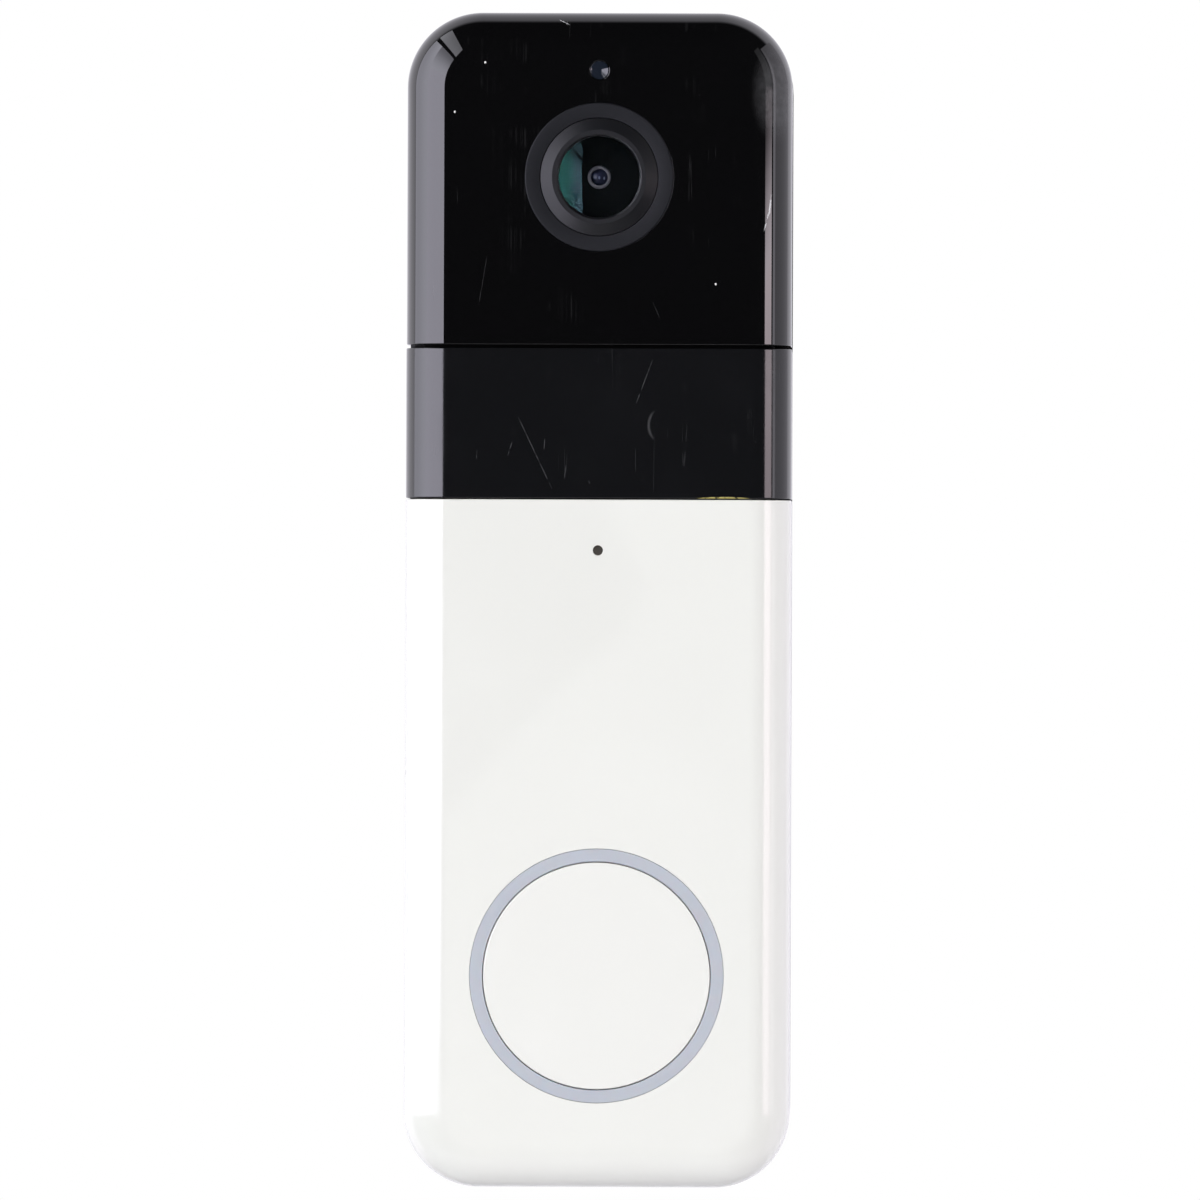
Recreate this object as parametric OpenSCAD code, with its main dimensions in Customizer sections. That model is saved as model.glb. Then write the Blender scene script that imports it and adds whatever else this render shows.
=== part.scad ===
// Battery video doorbell on its wall bracket.
// The row's frame: X to the right seen from the front, Z up, the wall is the plane y = 0.
// Each sub-part is drawn in a front view, with x to the right, y up and z out from the wall,
// and facing() stands it up. Names that end in _z are levels, measured out from the wall.

/* [Body] */
// Width of the body
body_w = 46; // [45:0.5:48]
// Height of the body
body_h = 140; // [140:1:144]
// Distance from the wall to the front face
body_d = 30; // [30:0.5:32]
// Radius of the corners seen from the front
corner_r = 9; // [8.5:0.5:10]
// Rounding of the front edge
edge_r = 5; // [4:0.5:5.5]
// Wall thickness of the shells
wall = 2; // [1.8:0.1:2.2]
// Distance from the wall to the joint between rear and front shells
split_z = 9; // [8.8:0.1:9.4]

/* [Front shells] */
// Height at which the white housing ends and the motion window starts
window_low = 12; // [11:0.5:13]
// Height at which the motion window ends and the camera cover starts
window_high = 30.15; // [29:0.05:31]
// Width of the groove between the motion window and the camera cover
groove = 0.4; // [0.2:0.1:0.6]
// How much narrower the camera cover is than the body, on each side
cover_inset = 0.05; // [0:0.05:0.3]

/* [Camera] */
// Height of the lens centre
lens_y = 50.3; // [48:0.1:52]
// Outer radius of the ring round the lens
trim_r = 8.85; // [8.5:0.05:9.1]
// Outer radius of the sloped bezel
bezel_r = 7; // [6.6:0.1:7.4]
// How far the ring stands out of the front face
trim_rise = 0.15; // [0.1:0.05:0.3]
// Radius where the slope meets the flat lip
lip_r = 5.6; // [5.3:0.1:6]
// How far the lip stands out of the front face
lip_rise = 0.8; // [0.4:0.1:1]
// Radius of the front glass
glass_r = 4.8; // [4.6:0.1:5]
// How far the front glass is domed
dome_rise = 0.6; // [0.5:0.05:0.8]
// Radius of the funnel round the pupil
pupil_funnel_r = 1.35; // [1.25:0.05:1.6]
// Radius of the pupil
pupil_r = 0.96; // [0.8:0.02:1.1]
// Height of the light sensor's window
light_y = 63; // [62.5:0.1:63.5]

/* [Call button] */
// Height of the button's centre
button_y = -44.7; // [-46:0.1:-43]
// Outer radius of the lit ring
ring_r = 15.1; // [14.8:0.1:15.4]
// Width of the lit ring
ring_w = 1.5; // [1.2:0.1:1.6]
// Running gap between the button and the ring
button_gap = 0.15; // [0.1:0.05:0.3]
// Travel of the button
button_travel = 0.5; // [0.3:0.05:0.5]

/* [Battery] */
// Radius of one cell
cell_r = 9.1; // [9:0.05:9.2]
// Length of one cell
cell_l = 65; // [64:0.5:65.5]

/* [Wall bracket] */
// Half width of the bracket's plate
plate_x = 15.2; // [15:0.1:15.2]
// Thickness of the bracket's plate
plate_t = 2.4; // [2.2:0.1:2.4]
// Lowest edge of the bracket
plate_low = -49.6; // [-49.6:0.1:-48]
// Highest edge of the bracket
plate_high = 38; // [37.5:0.1:38]
// Travel that lifts the doorbell off the bracket's hooks
lift = 8.4; // [8:0.1:8.4]
// Distance between the screw holes across the bracket
hole_dx = 18; // [16:0.5:18]
// Distance between the screw holes along the bracket
hole_dy = 48; // [46:0.5:48]
// Radius of the screw holes
hole_r = 2.2; // [2:0.1:2.3]

/* [Hidden] */
$fn = 64;
tiny = 0.05;
back_z = 1.2;
front_z = body_d;
seal_t = 0.3;
shell_z = split_z + seal_t;
skin_z = front_z - wall;
half_w = body_w / 2;
half_h = body_h / 2;
in_w = body_w - 2 * wall;
in_h = body_h - 2 * wall;
in_r = corner_r - wall;
in_edge = edge_r - wall;
liner_t = 1;
liner_z = skin_z - liner_t - 0.1;
lip_z = front_z + lip_rise;
trim_z = front_z + trim_rise;
disc_z = skin_z - 0.2;
recess_z = 3.2;
floor_z = 4.6;
trough_z = 4.8;
trough_floor_z = 6;
recess_x = plate_x + 0.7;
recess_high = plate_high + 0.15;
recess_low = plate_low - lift - 0.4;
main_z = 10;
main_t = 1.2;
sensor_z = 14.2;
board_t = 1;
board_w = 38;
board_low = 14;
board_high = 65.8;
post_x = 16.2;
post_ys = [22, 40];
screw_x = half_w - 6.2;
screw_y = half_h - 6.8;
cell_x = 9.3;
cell_z = 14.9;
cell_low = -54;
cell_high = cell_low + cell_l;
button_board_z = 24.4;
switch_z = button_board_z + board_t;
cap_r = ring_r - ring_w - button_gap;
catch_z = 26.9;
cap_z = 28.4;
boss_z = 27.2;
plunger_z = switch_z + 0.2 + button_travel;
button_post_x = 17.8;
button_post_dys = [-11.8, 14.2];
terminal_y = 20;
terminal_x = 6;
usb_y = 50;
flap_h = 8.4;
flap_z = [1.25, 2.05];
stud_x = -10.6;
setup_x = 12;
setup_y = 56;
setup_r = 2.3;
pir_y = 21;
mic_y = 5.9;
tab_l = 7.6;
tab_ys = [22.2, -39.8];
speaker_x = 13;
speaker_low_z = 9.8;
speaker_high_z = 21.8;
clip_x = 4;
clip_t = 0.4;
rivet_x = 2.4;
rivet_y = -45.5;
rivet_bore_r = 0.85;
hole_low = -40;
boss_r = 2.8;
pilot_r = 1.25;
post_bore_r = 1.15;

// ---- helpers ----

// Stands a front-view drawing up: x stays, y becomes up, z becomes away from the wall.
module facing() rotate([90, 0, 0]) children();

// A box between two corners.
module block(x, y, z) {
  translate([x[0], y[0], z[0]]) cube([x[1] - x[0], y[1] - y[0], z[1] - z[0]]);
}

// A round bar or disc along z at (x, y).
module disc(x, y, r, z0, z1) {
  translate([x, y, z0]) cylinder(r = r, h = z1 - z0);
}

// A flat ring along z at (x, y).
module ring(x, y, r_in, r_out, z0, z1) {
  difference() {
    disc(x, y, r_out, z0, z1);
    disc(x, y, r_in, z0 - 1, z1 + 1);
  }
}

// A rectangle with true round corners, centred.
module rounded_rect(w, h, r) {
  square([w - 2 * r, h], center = true);
  square([w, h - 2 * r], center = true);
  for (sx = [-1, 1], sy = [-1, 1])
    translate([sx * (w / 2 - r), sy * (h / 2 - r)]) circle(r);
}

// A plate with round corners.
module plate(x, y, w, h, r, z0, z1) {
  translate([x, y, z0]) linear_extrude(z1 - z0) rounded_rect(w, h, r);
}

// Cross-section of a rounded rim, r wide and h high, with its top outer corner rounded.
module rim_section(r, round_r, h) {
  difference() {
    square([r, h]);
    translate([r - round_r, h - round_r]) difference() {
      square(round_r + 1);
      circle(round_r);
    }
  }
}

// A slab with round corners and a rounded edge round its z1 face.
module slab(w, h, r, round_r, z0, z1) {
  d = z1 - z0;
  cx = w / 2 - r;
  cy = h / 2 - r;
  translate([0, 0, z0]) {
    for (sx = [0, 1], sy = [0, 1])
      mirror([sx, 0, 0]) mirror([0, sy, 0]) translate([cx, cy, 0])
        rotate_extrude(angle = 90) rim_section(r, round_r, d);
    for (s = [0, 1]) {
      mirror([s, 0, 0]) translate([cx, cy, 0]) rotate([90, 0, 0])
        linear_extrude(2 * cy) rim_section(r, round_r, d);
      mirror([0, s, 0]) translate([-cx, cy, 0]) rotate([90, 0, 90])
        linear_extrude(2 * cx) rim_section(r, round_r, d);
    }
    translate([-cx, -cy, 0]) cube([2 * cx, 2 * cy, d]);
  }
}

// The hollow front shell between two heights, closed at the front.
module front_shell(y0, y1, inset) {
  difference() {
    intersection() {
      slab(body_w - 2 * inset, body_h, corner_r, edge_r, shell_z, front_z);
      block([-body_w, body_w], [y0, y1], [0, body_d + 10]);
    }
    slab(in_w, in_h, in_r, in_edge, 0, skin_z);
  }
}

// The same shape at each of the four housing screws.
module at_screws(sides) {
  for (sx = [-1, 1], sy = sides) translate([sx * screw_x, sy * screw_y, 0]) children();
}

// The same shape at each of the four board posts.
module at_posts() {
  for (sx = [-1, 1], y = post_ys) translate([sx * post_x, y, 0]) children();
}

// ---- wall side ----

// Plate screwed to the wall, with four hooks and a window for the bell wires.
module wall_bracket() color("#3a3b3d") facing() {
  window_x = 11;
  window_y = [14.6, 33];
  plate_h = plate_high - plate_low;
  mid_y = (plate_high + plate_low) / 2;
  hook_x = 18;
  hook_t = 1.3;
  hook_z = [3.1, 4.2];
  head_r = 4.2;
  land = 0.9;
  difference() {
    plate(0, mid_y, 2 * plate_x, plate_h, 3, 0, plate_t);
    plate(0, (window_y[0] + window_y[1]) / 2, 2 * window_x, window_y[1] - window_y[0], 1.5, -1, plate_t + 1);
    for (sx = [-1, 1], y = [hole_low, hole_low + hole_dy]) translate([sx * hole_dx / 2, y, 0]) {
      translate([0, 0, -1]) cylinder(r = hole_r, h = plate_t + 2);
      translate([0, 0, land]) cylinder(r1 = hole_r, r2 = head_r, h = plate_t - land + 0.01);
    }
    for (sx = [-1, 1]) {
      disc(sx * rivet_x, rivet_y, rivet_bore_r, -1, plate_t + 1);
      disc(sx * rivet_x, rivet_y, 1.5, -1, 0.5);
    }
  }
  for (s = [0, 1], y = tab_ys) mirror([s, 0, 0]) {
    block([plate_x - hook_t, plate_x], [y, y + tab_l], [plate_t - tiny, hook_z[1]]);
    block([plate_x - hook_t, hook_x], [y, y + tab_l], hook_z);
  }
}

// Spring-steel catch whose bent tip stands in the rear housing's pocket.
module bracket_clip() color("silver") facing() difference() {
  tip_low = -56;
  bend_y = -50;
  top_y = -42.5;
  tip_z = 4.3;
  rotate([90, 0, 90]) translate([0, 0, -clip_x]) linear_extrude(2 * clip_x) polygon([
    [top_y, plate_t], [bend_y, plate_t], [tip_low + 1, tip_z - clip_t], [tip_low, tip_z - clip_t],
    [tip_low, tip_z], [tip_low + 1.1, tip_z], [bend_y + 0.1, plate_t + clip_t], [top_y, plate_t + clip_t]
  ]);
  for (sx = [-1, 1]) disc(sx * rivet_x, rivet_y, rivet_bore_r, 0, 5);
}

// Two rivets that hold the catch on the bracket.
module clip_rivets() color("silver") facing() {
  head_r = 1.4;
  for (sx = [-1, 1]) {
    disc(sx * rivet_x, rivet_y, rivet_bore_r - 0.05, 0.1, 3.1);
    disc(sx * rivet_x, rivet_y, head_r, 0.1, 0.5);
    disc(sx * rivet_x, rivet_y, head_r, plate_t + clip_t, 3.1);
  }
}

// ---- shells ----

// White lower shell with the button's hole, the microphone's hole and the speaker's slots.
module front_housing() color("white") facing() {
  slot_pitch = 3;
  slot_w = 1.2;
  slot_z = [11.6, 20];
  difference() {
    union() {
      front_shell(-half_h - 1, window_low - 0.05, 0);
      at_screws([-1]) disc(0, 0, boss_r, shell_z, skin_z + tiny);
      button_posts() disc(0, 0, 1.9, switch_z, skin_z + tiny);
    }
    disc(0, button_y, ring_r + 0.1, 20, 40);
    disc(0, mic_y, 0.6, 20, 40);
    for (i = [-3:3]) {
      x = i * slot_pitch;
      block([x - slot_w / 2, x + slot_w / 2], [-half_h - 1, -in_h / 2 + 1], slot_z);
    }
    at_screws([-1]) disc(0, 0, pilot_r, 0, 18);
    button_posts() disc(0, 0, 0.85, 0, skin_z - 0.4);
  }
}

// Glossy black upper shell round the camera.
module camera_cover() color("#101012") facing() difference() {
  front_shell(window_high + groove / 2, half_h + 1, cover_inset);
  disc(0, lens_y, trim_r + 0.1, 20, 40);
  disc(0, light_y, 1.2, 20, 40);
}

// Dark band that passes heat radiation to the motion sensor.
module pir_window() color("#1f1f22") facing()
  front_shell(window_low + 0.1, window_high - groove / 2, 0);

// Inner liner that the three front shells are bonded to.
module inner_frame() color("#2a2a2c") facing() {
  low = 9;
  gap = 0.1;
  liner_w = in_w - 2 * gap;
  liner_h = in_h - 2 * gap;
  liner_r = in_r - gap;
  liner_edge = in_edge - gap;
  difference() {
    union() {
      difference() {
        intersection() {
          slab(liner_w, liner_h, liner_r, liner_edge, shell_z, skin_z - gap);
          block([-body_w, body_w], [low, half_h], [0, body_d]);
        }
        slab(
          liner_w - 2 * liner_t, liner_h - 2 * liner_t, liner_r - liner_t, liner_edge - liner_t, 0, liner_z
        );
      }
      at_screws([1]) disc(0, 0, boss_r, shell_z, liner_z - 1);
      at_posts() disc(0, 0, 2.4, sensor_z + board_t, liner_z + tiny);
    }
    disc(0, lens_y, 13.9, 20, 40);
    disc(0, pir_y, 6.6, 20, 40);
    disc(0, light_y, 1.3, 20, 40);
    at_screws([1]) disc(0, 0, pilot_r, 0, 18);
    at_posts() disc(0, 0, 1, 0, 20);
  }
}

// Dark rear shell with the bracket's recess, the hook rails and the rear openings.
module rear_housing() color("#2c2d2f") facing() {
  back_round = 1.2;
  t = 1.2;
  trough_x = [13.6, 18.9];
  trough_y = [-51, 31];
  notch_gap = 0.2;
  recess_h = recess_high - recess_low;
  recess_y = (recess_high + recess_low) / 2;
  pocket_x = 5;
  pocket_y = [-56.4, -49];
  raised_z = [recess_z - tiny, trough_floor_z];
  difference() {
    union() {
      difference() {
        translate([0, 0, back_z + split_z]) mirror([0, 0, 1])
          slab(body_w, body_h, corner_r, back_round, back_z, split_z);
        plate(0, 0, in_w, in_h, in_r, recess_z, split_z + 1);
      }
      plate(0, recess_y, 2 * (recess_x + t), recess_h + 2 * t, 2, recess_z - tiny, floor_z);
      for (s = [0, 1]) mirror([s, 0, 0])
        block([trough_x[0] - t, trough_x[1] + t], [trough_y[0] - t, trough_y[1] + t], raised_z);
      block([-pocket_x - t, pocket_x + t], [recess_low - t, pocket_y[1] + t], raised_z);
      block([-2, 2], [-in_h / 2 - tiny, recess_low], [recess_z - tiny, trough_floor_z + 0.4]);
      at_screws([-1, 1]) disc(0, 0, 3.2, recess_z - tiny, split_z);
    }
    plate(0, recess_y, 2 * recess_x, recess_h, 1.5, 0, recess_z);
    for (s = [0, 1]) mirror([s, 0, 0]) {
      block(trough_x, trough_y, [2.8, trough_z]);
      for (y = tab_ys)
        block([recess_x - 1, trough_x[1]], [y - lift - notch_gap, y + tab_l - lift + notch_gap], [0, 3]);
    }
    block([-pocket_x, pocket_x], pocket_y, [recess_z - 1, trough_z]);
    translate([0, pocket_y[0] + 1, trough_z - 0.7]) rotate([90, 0, 0]) cylinder(r = 0.7, h = 30);
    for (sx = [-1, 1]) plate(sx * terminal_x, terminal_y, 9.4, 8.4, 0.5, 2, floor_z + 1);
    plate(0, usb_y, 10, 4.4, 2.1, 0, recess_z + 1);
    plate(-1.8, usb_y, 21.2, 9.2, 1.6, 0, back_z + 0.9);
    disc(stud_x, usb_y, 1.2, 0, 10);
    disc(setup_x, setup_y, setup_r + 0.2, 0, recess_z + 1);
    at_screws([-1, 1]) {
      disc(0, 0, 2.7, 0, 5);
      disc(0, 0, 1.4, 0, 10);
    }
  }
}

// Rubber seal between the rear and front shells.
module housing_seal() color("#18181a") facing() difference() {
  plate(0, 0, body_w - 1, body_h - 1, corner_r - 0.5, split_z, shell_z);
  plate(0, 0, body_w - 3.4, body_h - 3.4, corner_r - 1.7, split_z - 1, shell_z + 1);
}

// Four screws from the back that hold the shells together.
module housing_screws() color("silver") facing() at_screws([-1, 1]) difference() {
  head_r = 2.4;
  union() {
    disc(0, 0, head_r, 3.4, 5);
    disc(0, 0, 1.2, 5 - tiny, 17);
  }
  translate([0, 0, 3]) cylinder(r = 1, h = 1.3, $fn = 6);
}

// ---- camera ----

// Matte ring set in the cover's hole.
module lens_trim_ring() color("#2a2b30") facing() translate([0, lens_y, 0]) rotate_extrude()
  polygon([
    [bezel_r + 0.05, skin_z - 0.8], [trim_r + 0.95, skin_z - 0.8], [trim_r + 0.95, skin_z - 0.1],
    [trim_r, skin_z - 0.1], [trim_r, trim_z], [bezel_r + 0.05, trim_z]
  ]);

// Raised bezel: a slope, a flat lip and a small step down to the glass.
module lens_bezel() color("#35363c") facing() translate([0, lens_y, 0]) rotate_extrude()
  polygon([
    [bezel_r, trim_z - 0.05], [lip_r, lip_z], [glass_r + 0.25, lip_z], [glass_r + 0.05, lip_z - 0.2],
    [glass_r + 0.05, skin_z], [bezel_r, skin_z]
  ]);

// Domed front glass.
module front_lens() color("#141818") facing() translate([0, lens_y, 0]) intersection() {
  ball_r = (glass_r * glass_r + dome_rise * dome_rise) / (2 * dome_rise);
  translate([0, 0, lip_z - 0.3 + dome_rise - ball_r]) sphere(r = ball_r, $fn = 128);
  disc(0, 0, glass_r, disc_z + 0.7, front_z + 5);
}

// Black disc behind the glass, with a small funnel that the pupil shows through.
module aperture_disc() color("#0c0d0e") facing() translate([0, lens_y, 0]) rotate_extrude()
  polygon([
    [pupil_r, disc_z], [glass_r, disc_z], [glass_r, disc_z + 0.6], [pupil_funnel_r, disc_z + 0.6],
    [pupil_r, disc_z + 0.3]
  ]);

// Small lens behind the disc's hole.
module pupil_lens() color("#2f3242") facing() translate([0, lens_y, 0]) intersection() {
  ball_r = 1.6;
  translate([0, 0, disc_z + 0.25 - ball_r]) sphere(r = ball_r, $fn = 96);
  disc(0, 0, pupil_r - 0.03, disc_z - 0.9, disc_z + 1);
}

// Barrel that carries the lenses.
module lens_barrel() color("#17181a") facing() translate([0, lens_y, 0]) rotate_extrude()
  polygon([
    [2.4, 18.4], [5.1, 18.4], [5.1, skin_z - 0.05], [glass_r + 0.05, skin_z - 0.05], [glass_r + 0.05, disc_z],
    [2.4, disc_z - 1]
  ]);

// Square holder that carries the barrel on the board.
module lens_holder() color("#1c1d20") facing() difference() {
  plate(0, lens_y, 15, 15, 1, sensor_z + board_t, 21);
  plate(0, lens_y, 12, 12, 0.5, sensor_z, 18);
  disc(0, lens_y, 5.15, 17, 30);
}

// Picture sensor inside the holder.
module image_sensor() color("#4a5568") facing()
  plate(0, lens_y, 8.5, 8.5, 0.4, sensor_z + board_t, sensor_z + board_t + 1);

// Board with the camera and the light and motion sensors.
module sensor_board() color("#1d5a3a") facing() difference() {
  mid_y = (board_low + board_high) / 2;
  plate(0, mid_y, board_w, board_high - board_low, 1.5, sensor_z, sensor_z + board_t);
  at_screws([1]) disc(0, 0, 3.3, 0, 30);
  at_posts() disc(0, 0, post_bore_r, 0, 30);
}

// Ring board behind the cover for the night lights.
module ir_board() color("#1d5a3a") facing() difference() {
  ring(0, lens_y, 9, 14.6, liner_z - 0.8, liner_z);
  disc(0, light_y, 1.4, 20, 40);
}

// Four infrared lamps that light the scene through the black cover.
module ir_emitters() color("#3b3550") facing()
  for (a = [45:90:315]) translate([0, lens_y, 0]) rotate([0, 0, a]) disc(12, 0, 1.5, liner_z, liner_z + 0.9);

// Clear rod that leads daylight from the cover to the light sensor.
module light_pipe() color("#2a3038") facing() disc(0, light_y, 1.1, 16.2, front_z - 0.1);

// Light sensor under the rod.
module light_sensor() color("#d9d9d2") facing()
  plate(0, light_y, 2, 2, 0.2, sensor_z + board_t, sensor_z + board_t + 0.9);

// Motion sensor in its metal can with three legs.
module pir_sensor() color("silver") facing() translate([0, pir_y, 0]) {
  difference() {
    union() {
      disc(0, 0, 4.1, 17.4 - tiny, 21.6);
      disc(0, 0, 4.6, 16.6, 17.4);
    }
    translate([-1.6, -1.3, 21.3]) cube([3.2, 2.6, 2]);
  }
  for (a = [90:120:330]) rotate([0, 0, a]) disc(2.5, 0, 0.25, sensor_z + board_t, 16.6 + tiny);
}

// Funnel that shields the motion sensor's view.
module pir_holder() color("#222326") facing() translate([0, pir_y, 0]) rotate_extrude()
  polygon([
    [4.7, sensor_z + board_t], [5.7, sensor_z + board_t], [6.3, skin_z - 0.2], [5.5, skin_z - 0.2], [4.7, 17.5]
  ]);

// ---- microphone ----

// Small board of the microphone.
module microphone_board() color("#1d5a3a") facing() plate(0, mic_y, 9, 5.8, 0.5, 25.2, 26);

// Microphone.
module microphone() color("#c9b27a") facing() plate(0, mic_y, 3.8, 3, 0.2, 26, 27);

// Rubber sleeve that joins the microphone to the hole in the housing.
module microphone_gasket() color("#18181a") facing() ring(0, mic_y, 0.6, 1.9, 27, skin_z);

// ---- main electronics ----

// Main board.
module main_board() color("#1d5a3a") facing() difference() {
  mid_y = (board_low + board_high) / 2;
  plate(0, mid_y, board_w, board_high - board_low, 1.5, main_z, main_z + main_t);
  at_screws([1]) disc(0, 0, 3.5, 0, 30);
  at_posts() disc(0, 0, post_bore_r, 0, 30);
}

// Main chip.
module processor() color("#202124") facing()
  plate(-8, 46, 12, 12, 0.3, main_z + main_t, main_z + main_t + 1.2);

// Metal can over the radio.
module radio_shield() color("silver") facing() difference() {
  can = [7.5, 50];
  size = [14, 16];
  sheet_t = 0.3;
  top_z = main_z + main_t + 2.2;
  plate(can[0], can[1], size[0], size[1], 0.6, main_z + main_t, top_z);
  plate(can[0], can[1], size[0] - 2 * sheet_t, size[1] - 2 * sheet_t, 0.4, 0, top_z - sheet_t);
}

// Foil antenna under the top wall.
module antenna() color("#b87333") facing() block([-12, 12], [66.1, 66.4], [15.8, 24.6]);

// Connector between the two boards.
module board_connector() color("#e6e0d0") facing()
  block([-6, 6], [29, 32], [main_z + main_t, sensor_z]);

// Four sleeves between the boards.
module board_spacers() color("silver") facing() at_posts()
  ring(0, 0, post_bore_r, 2.2, main_z + main_t, sensor_z);

// Four screws through both boards into the inner frame.
module board_screws() color("silver") facing() at_posts() difference() {
  union() {
    disc(0, 0, 1.9, 8.8, main_z);
    disc(0, 0, 0.95, main_z - tiny, 19);
  }
  block([-0.25, 0.25], [-3, 3], [8, 9.3]);
}

// ---- battery ----

// Two round lithium cells side by side.
module battery_cells() color("#3f6fb0") facing() for (sx = [-1, 1])
  translate([sx * cell_x, cell_low, cell_z]) rotate([-90, 0, 0]) {
    cylinder(r = cell_r, h = cell_l - 0.8);
    cylinder(r = 3, h = cell_l);
  }

// Nickel strips welded to the cells' ends.
module battery_tabs() color("silver") facing() {
  strip_z = [12, 18];
  strip_t = 0.3;
  block([-13, 13], [cell_low - strip_t, cell_low], strip_z);
  for (sx = [-1, 1])
    block([sx * cell_x - 3, sx * cell_x + 3], [cell_high, cell_high + strip_t], strip_z);
}

// Protection board on the cells' top ends.
module battery_board() color("#1d5a3a") facing()
  block([-16, 16], [cell_high + 0.4, cell_high + 1.4], [7.5, 22]);

// Plastic cradle that holds the cells by two saddles, side rails and an end wall.
module battery_cradle() color("#e8e8e6") facing() difference() {
  outer_x = 19.8;
  cradle_t = 1.2;
  saddle_ys = [-49, 1];
  saddle_l = 5;
  end_y = cell_low - 0.4;
  top_y = saddle_ys[1] + saddle_l;
  low_z = 6.3;
  rib_z = 9.4;
  side_z = 14;
  union() {
    block([-outer_x, outer_x], [end_y - cradle_t, end_y], [low_z, side_z]);
    block([-2, 2], [end_y - tiny, top_y], [low_z, rib_z]);
    for (y = saddle_ys) block([-outer_x, outer_x], [y, y + saddle_l], [low_z, side_z]);
    for (s = [0, 1]) mirror([s, 0, 0])
      block([outer_x - cradle_t, outer_x], [end_y - tiny, top_y], [10, side_z]);
  }
  for (sx = [-1, 1]) translate([sx * cell_x, end_y, cell_z]) rotate([-90, 0, 0])
    cylinder(r = cell_r + 0.1, h = 90);
  block([-1, 1], [end_y, top_y + 4], [rib_z, side_z + 6]);
}

// Battery plug on the back of the main board, with two contact blades to the protection board.
module battery_plug() color("#e6e0d0") facing() {
  plug_low = 14.6;
  blade_t = 0.8;
  block([11.5, 17], [plug_low, 19], [6.8, main_z]);
  for (x = [13, 15]) block([x, x + blade_t], [cell_high + 1.4, plug_low + tiny], [8, 8 + blade_t]);
}

// ---- rear openings ----

// Upright charging socket with its tongue.
module usb_socket() color("silver") facing() translate([0, usb_y, 0]) {
  difference() {
    plate(0, 0, 9, 3.3, 1.6, 2.4, main_z);
    plate(0, 0, 8.4, 2.7, 1.3, 2, 8.8);
  }
  block([-3.3, 3.3], [-0.35, 0.35], [3.6, 8.8 + tiny]);
}

// Rubber flap over the charging socket.
module usb_cover() color("#222326") facing() translate([0, usb_y, 0]) {
  plate(0, 0, 16.8, flap_h, 1.2, flap_z[0], flap_z[1]);
  plate(0, 0, 7.8, 2.1, 1, flap_z[1] - tiny, flap_z[1] + 0.8);
}

// Fixed end of the rubber flap, pushed into the housing.
module usb_cover_stud() color("#222326") facing() translate([0, usb_y, 0]) {
  plate(-10.3, 0, 3.4, flap_h, 1.2, flap_z[0], flap_z[1]);
  disc(stud_x, 0, 1.15, flap_z[1] - tiny, 4.2);
}

// Block behind the bell-wire terminals.
module terminal_block() color("#1c1d20") facing() difference() {
  plate(0, terminal_y, 22, 9, 0.6, floor_z, main_z);
  for (sx = [-1, 1]) disc(sx * terminal_x, terminal_y, 1.3, 0, 9.2);
}

// Two contact plates under the terminal screws.
module terminal_plates() color("#c9b27a") facing() for (sx = [-1, 1]) difference() {
  plate(sx * terminal_x, terminal_y, 8.8, 7.8, 0.4, 4, floor_z);
  disc(sx * terminal_x, terminal_y, 1.5, 0, 10);
}

// Two slotted terminal screws for the bell wires.
module terminal_screws() color("silver") facing() for (sx = [-1, 1])
  translate([sx * terminal_x, terminal_y, 0]) difference() {
    union() {
      disc(0, 0, 2.7, 2.3, 4);
      disc(0, 0, 1.25, 4 - tiny, 9);
    }
    block([-3, 3], [-0.35, 0.35], [2, 3]);
  }

// Setup button in the back.
module setup_button() color("#d8622c") facing() translate([setup_x, setup_y, 0]) {
  disc(0, 0, setup_r, 1.4, 3.4 + tiny);
  disc(0, 0, 3, 3.4, 4);
  disc(0, 0, 1.2, 4 - tiny, 8.4);
}

// Switch that the setup button's stem works.
module setup_switch() color("#202124") facing() difference() {
  plate(setup_x, setup_y, 4.5, 4.5, 0.3, 8, main_z);
  disc(setup_x, setup_y, 1.4, 7, 9.3);
}

// ---- speaker ----

// Speaker frame and magnet, facing down through the slots.
module speaker_frame() color("#26272a") facing() {
  low = -in_h / 2 + 1;
  t = 1.2;
  depth = 4;
  difference() {
    block([-speaker_x, speaker_x], [low, low + depth], [speaker_low_z, speaker_high_z]);
    block([-speaker_x + t, speaker_x - t], [low - 1, low + 2.6], [speaker_low_z + t, speaker_high_z - t]);
  }
  translate([0, low + depth - tiny, (speaker_low_z + speaker_high_z) / 2]) rotate([-90, 0, 0])
    cylinder(r = 4.4, h = 3);
}

// Speaker cone.
module speaker_cone() color("#3c3c40") facing() {
  low = -in_h / 2 + 1.5;
  x = speaker_x - 1.6;
  block([-x, x], [low, low + 0.5], [speaker_low_z + 1.6, speaker_high_z - 1.6]);
}

// Foam seal round the speaker's mouth.
module speaker_gasket() color("#18181a") facing() {
  low = -in_h / 2 + 0.3;
  x = speaker_x - 1.5;
  difference() {
    block([-speaker_x, speaker_x], [low, low + 0.7], [speaker_low_z, speaker_high_z]);
    block([-x, x], [low - 1, low + 2], [speaker_low_z + 1.5, speaker_high_z - 1.5]);
  }
}

// Fine mesh behind the slots.
module speaker_mesh() color("#101012") facing()
  block([-11.6, 11.6], [-in_h / 2 + 0.05, -in_h / 2 + 0.3], [10.4, 21.2]);

// ---- call button ----

// The places of the four posts that carry the button's board.
module button_posts() {
  for (sx = [-1, 1], dy = button_post_dys) translate([sx * button_post_x, button_y + dy, 0]) children();
}

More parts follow.
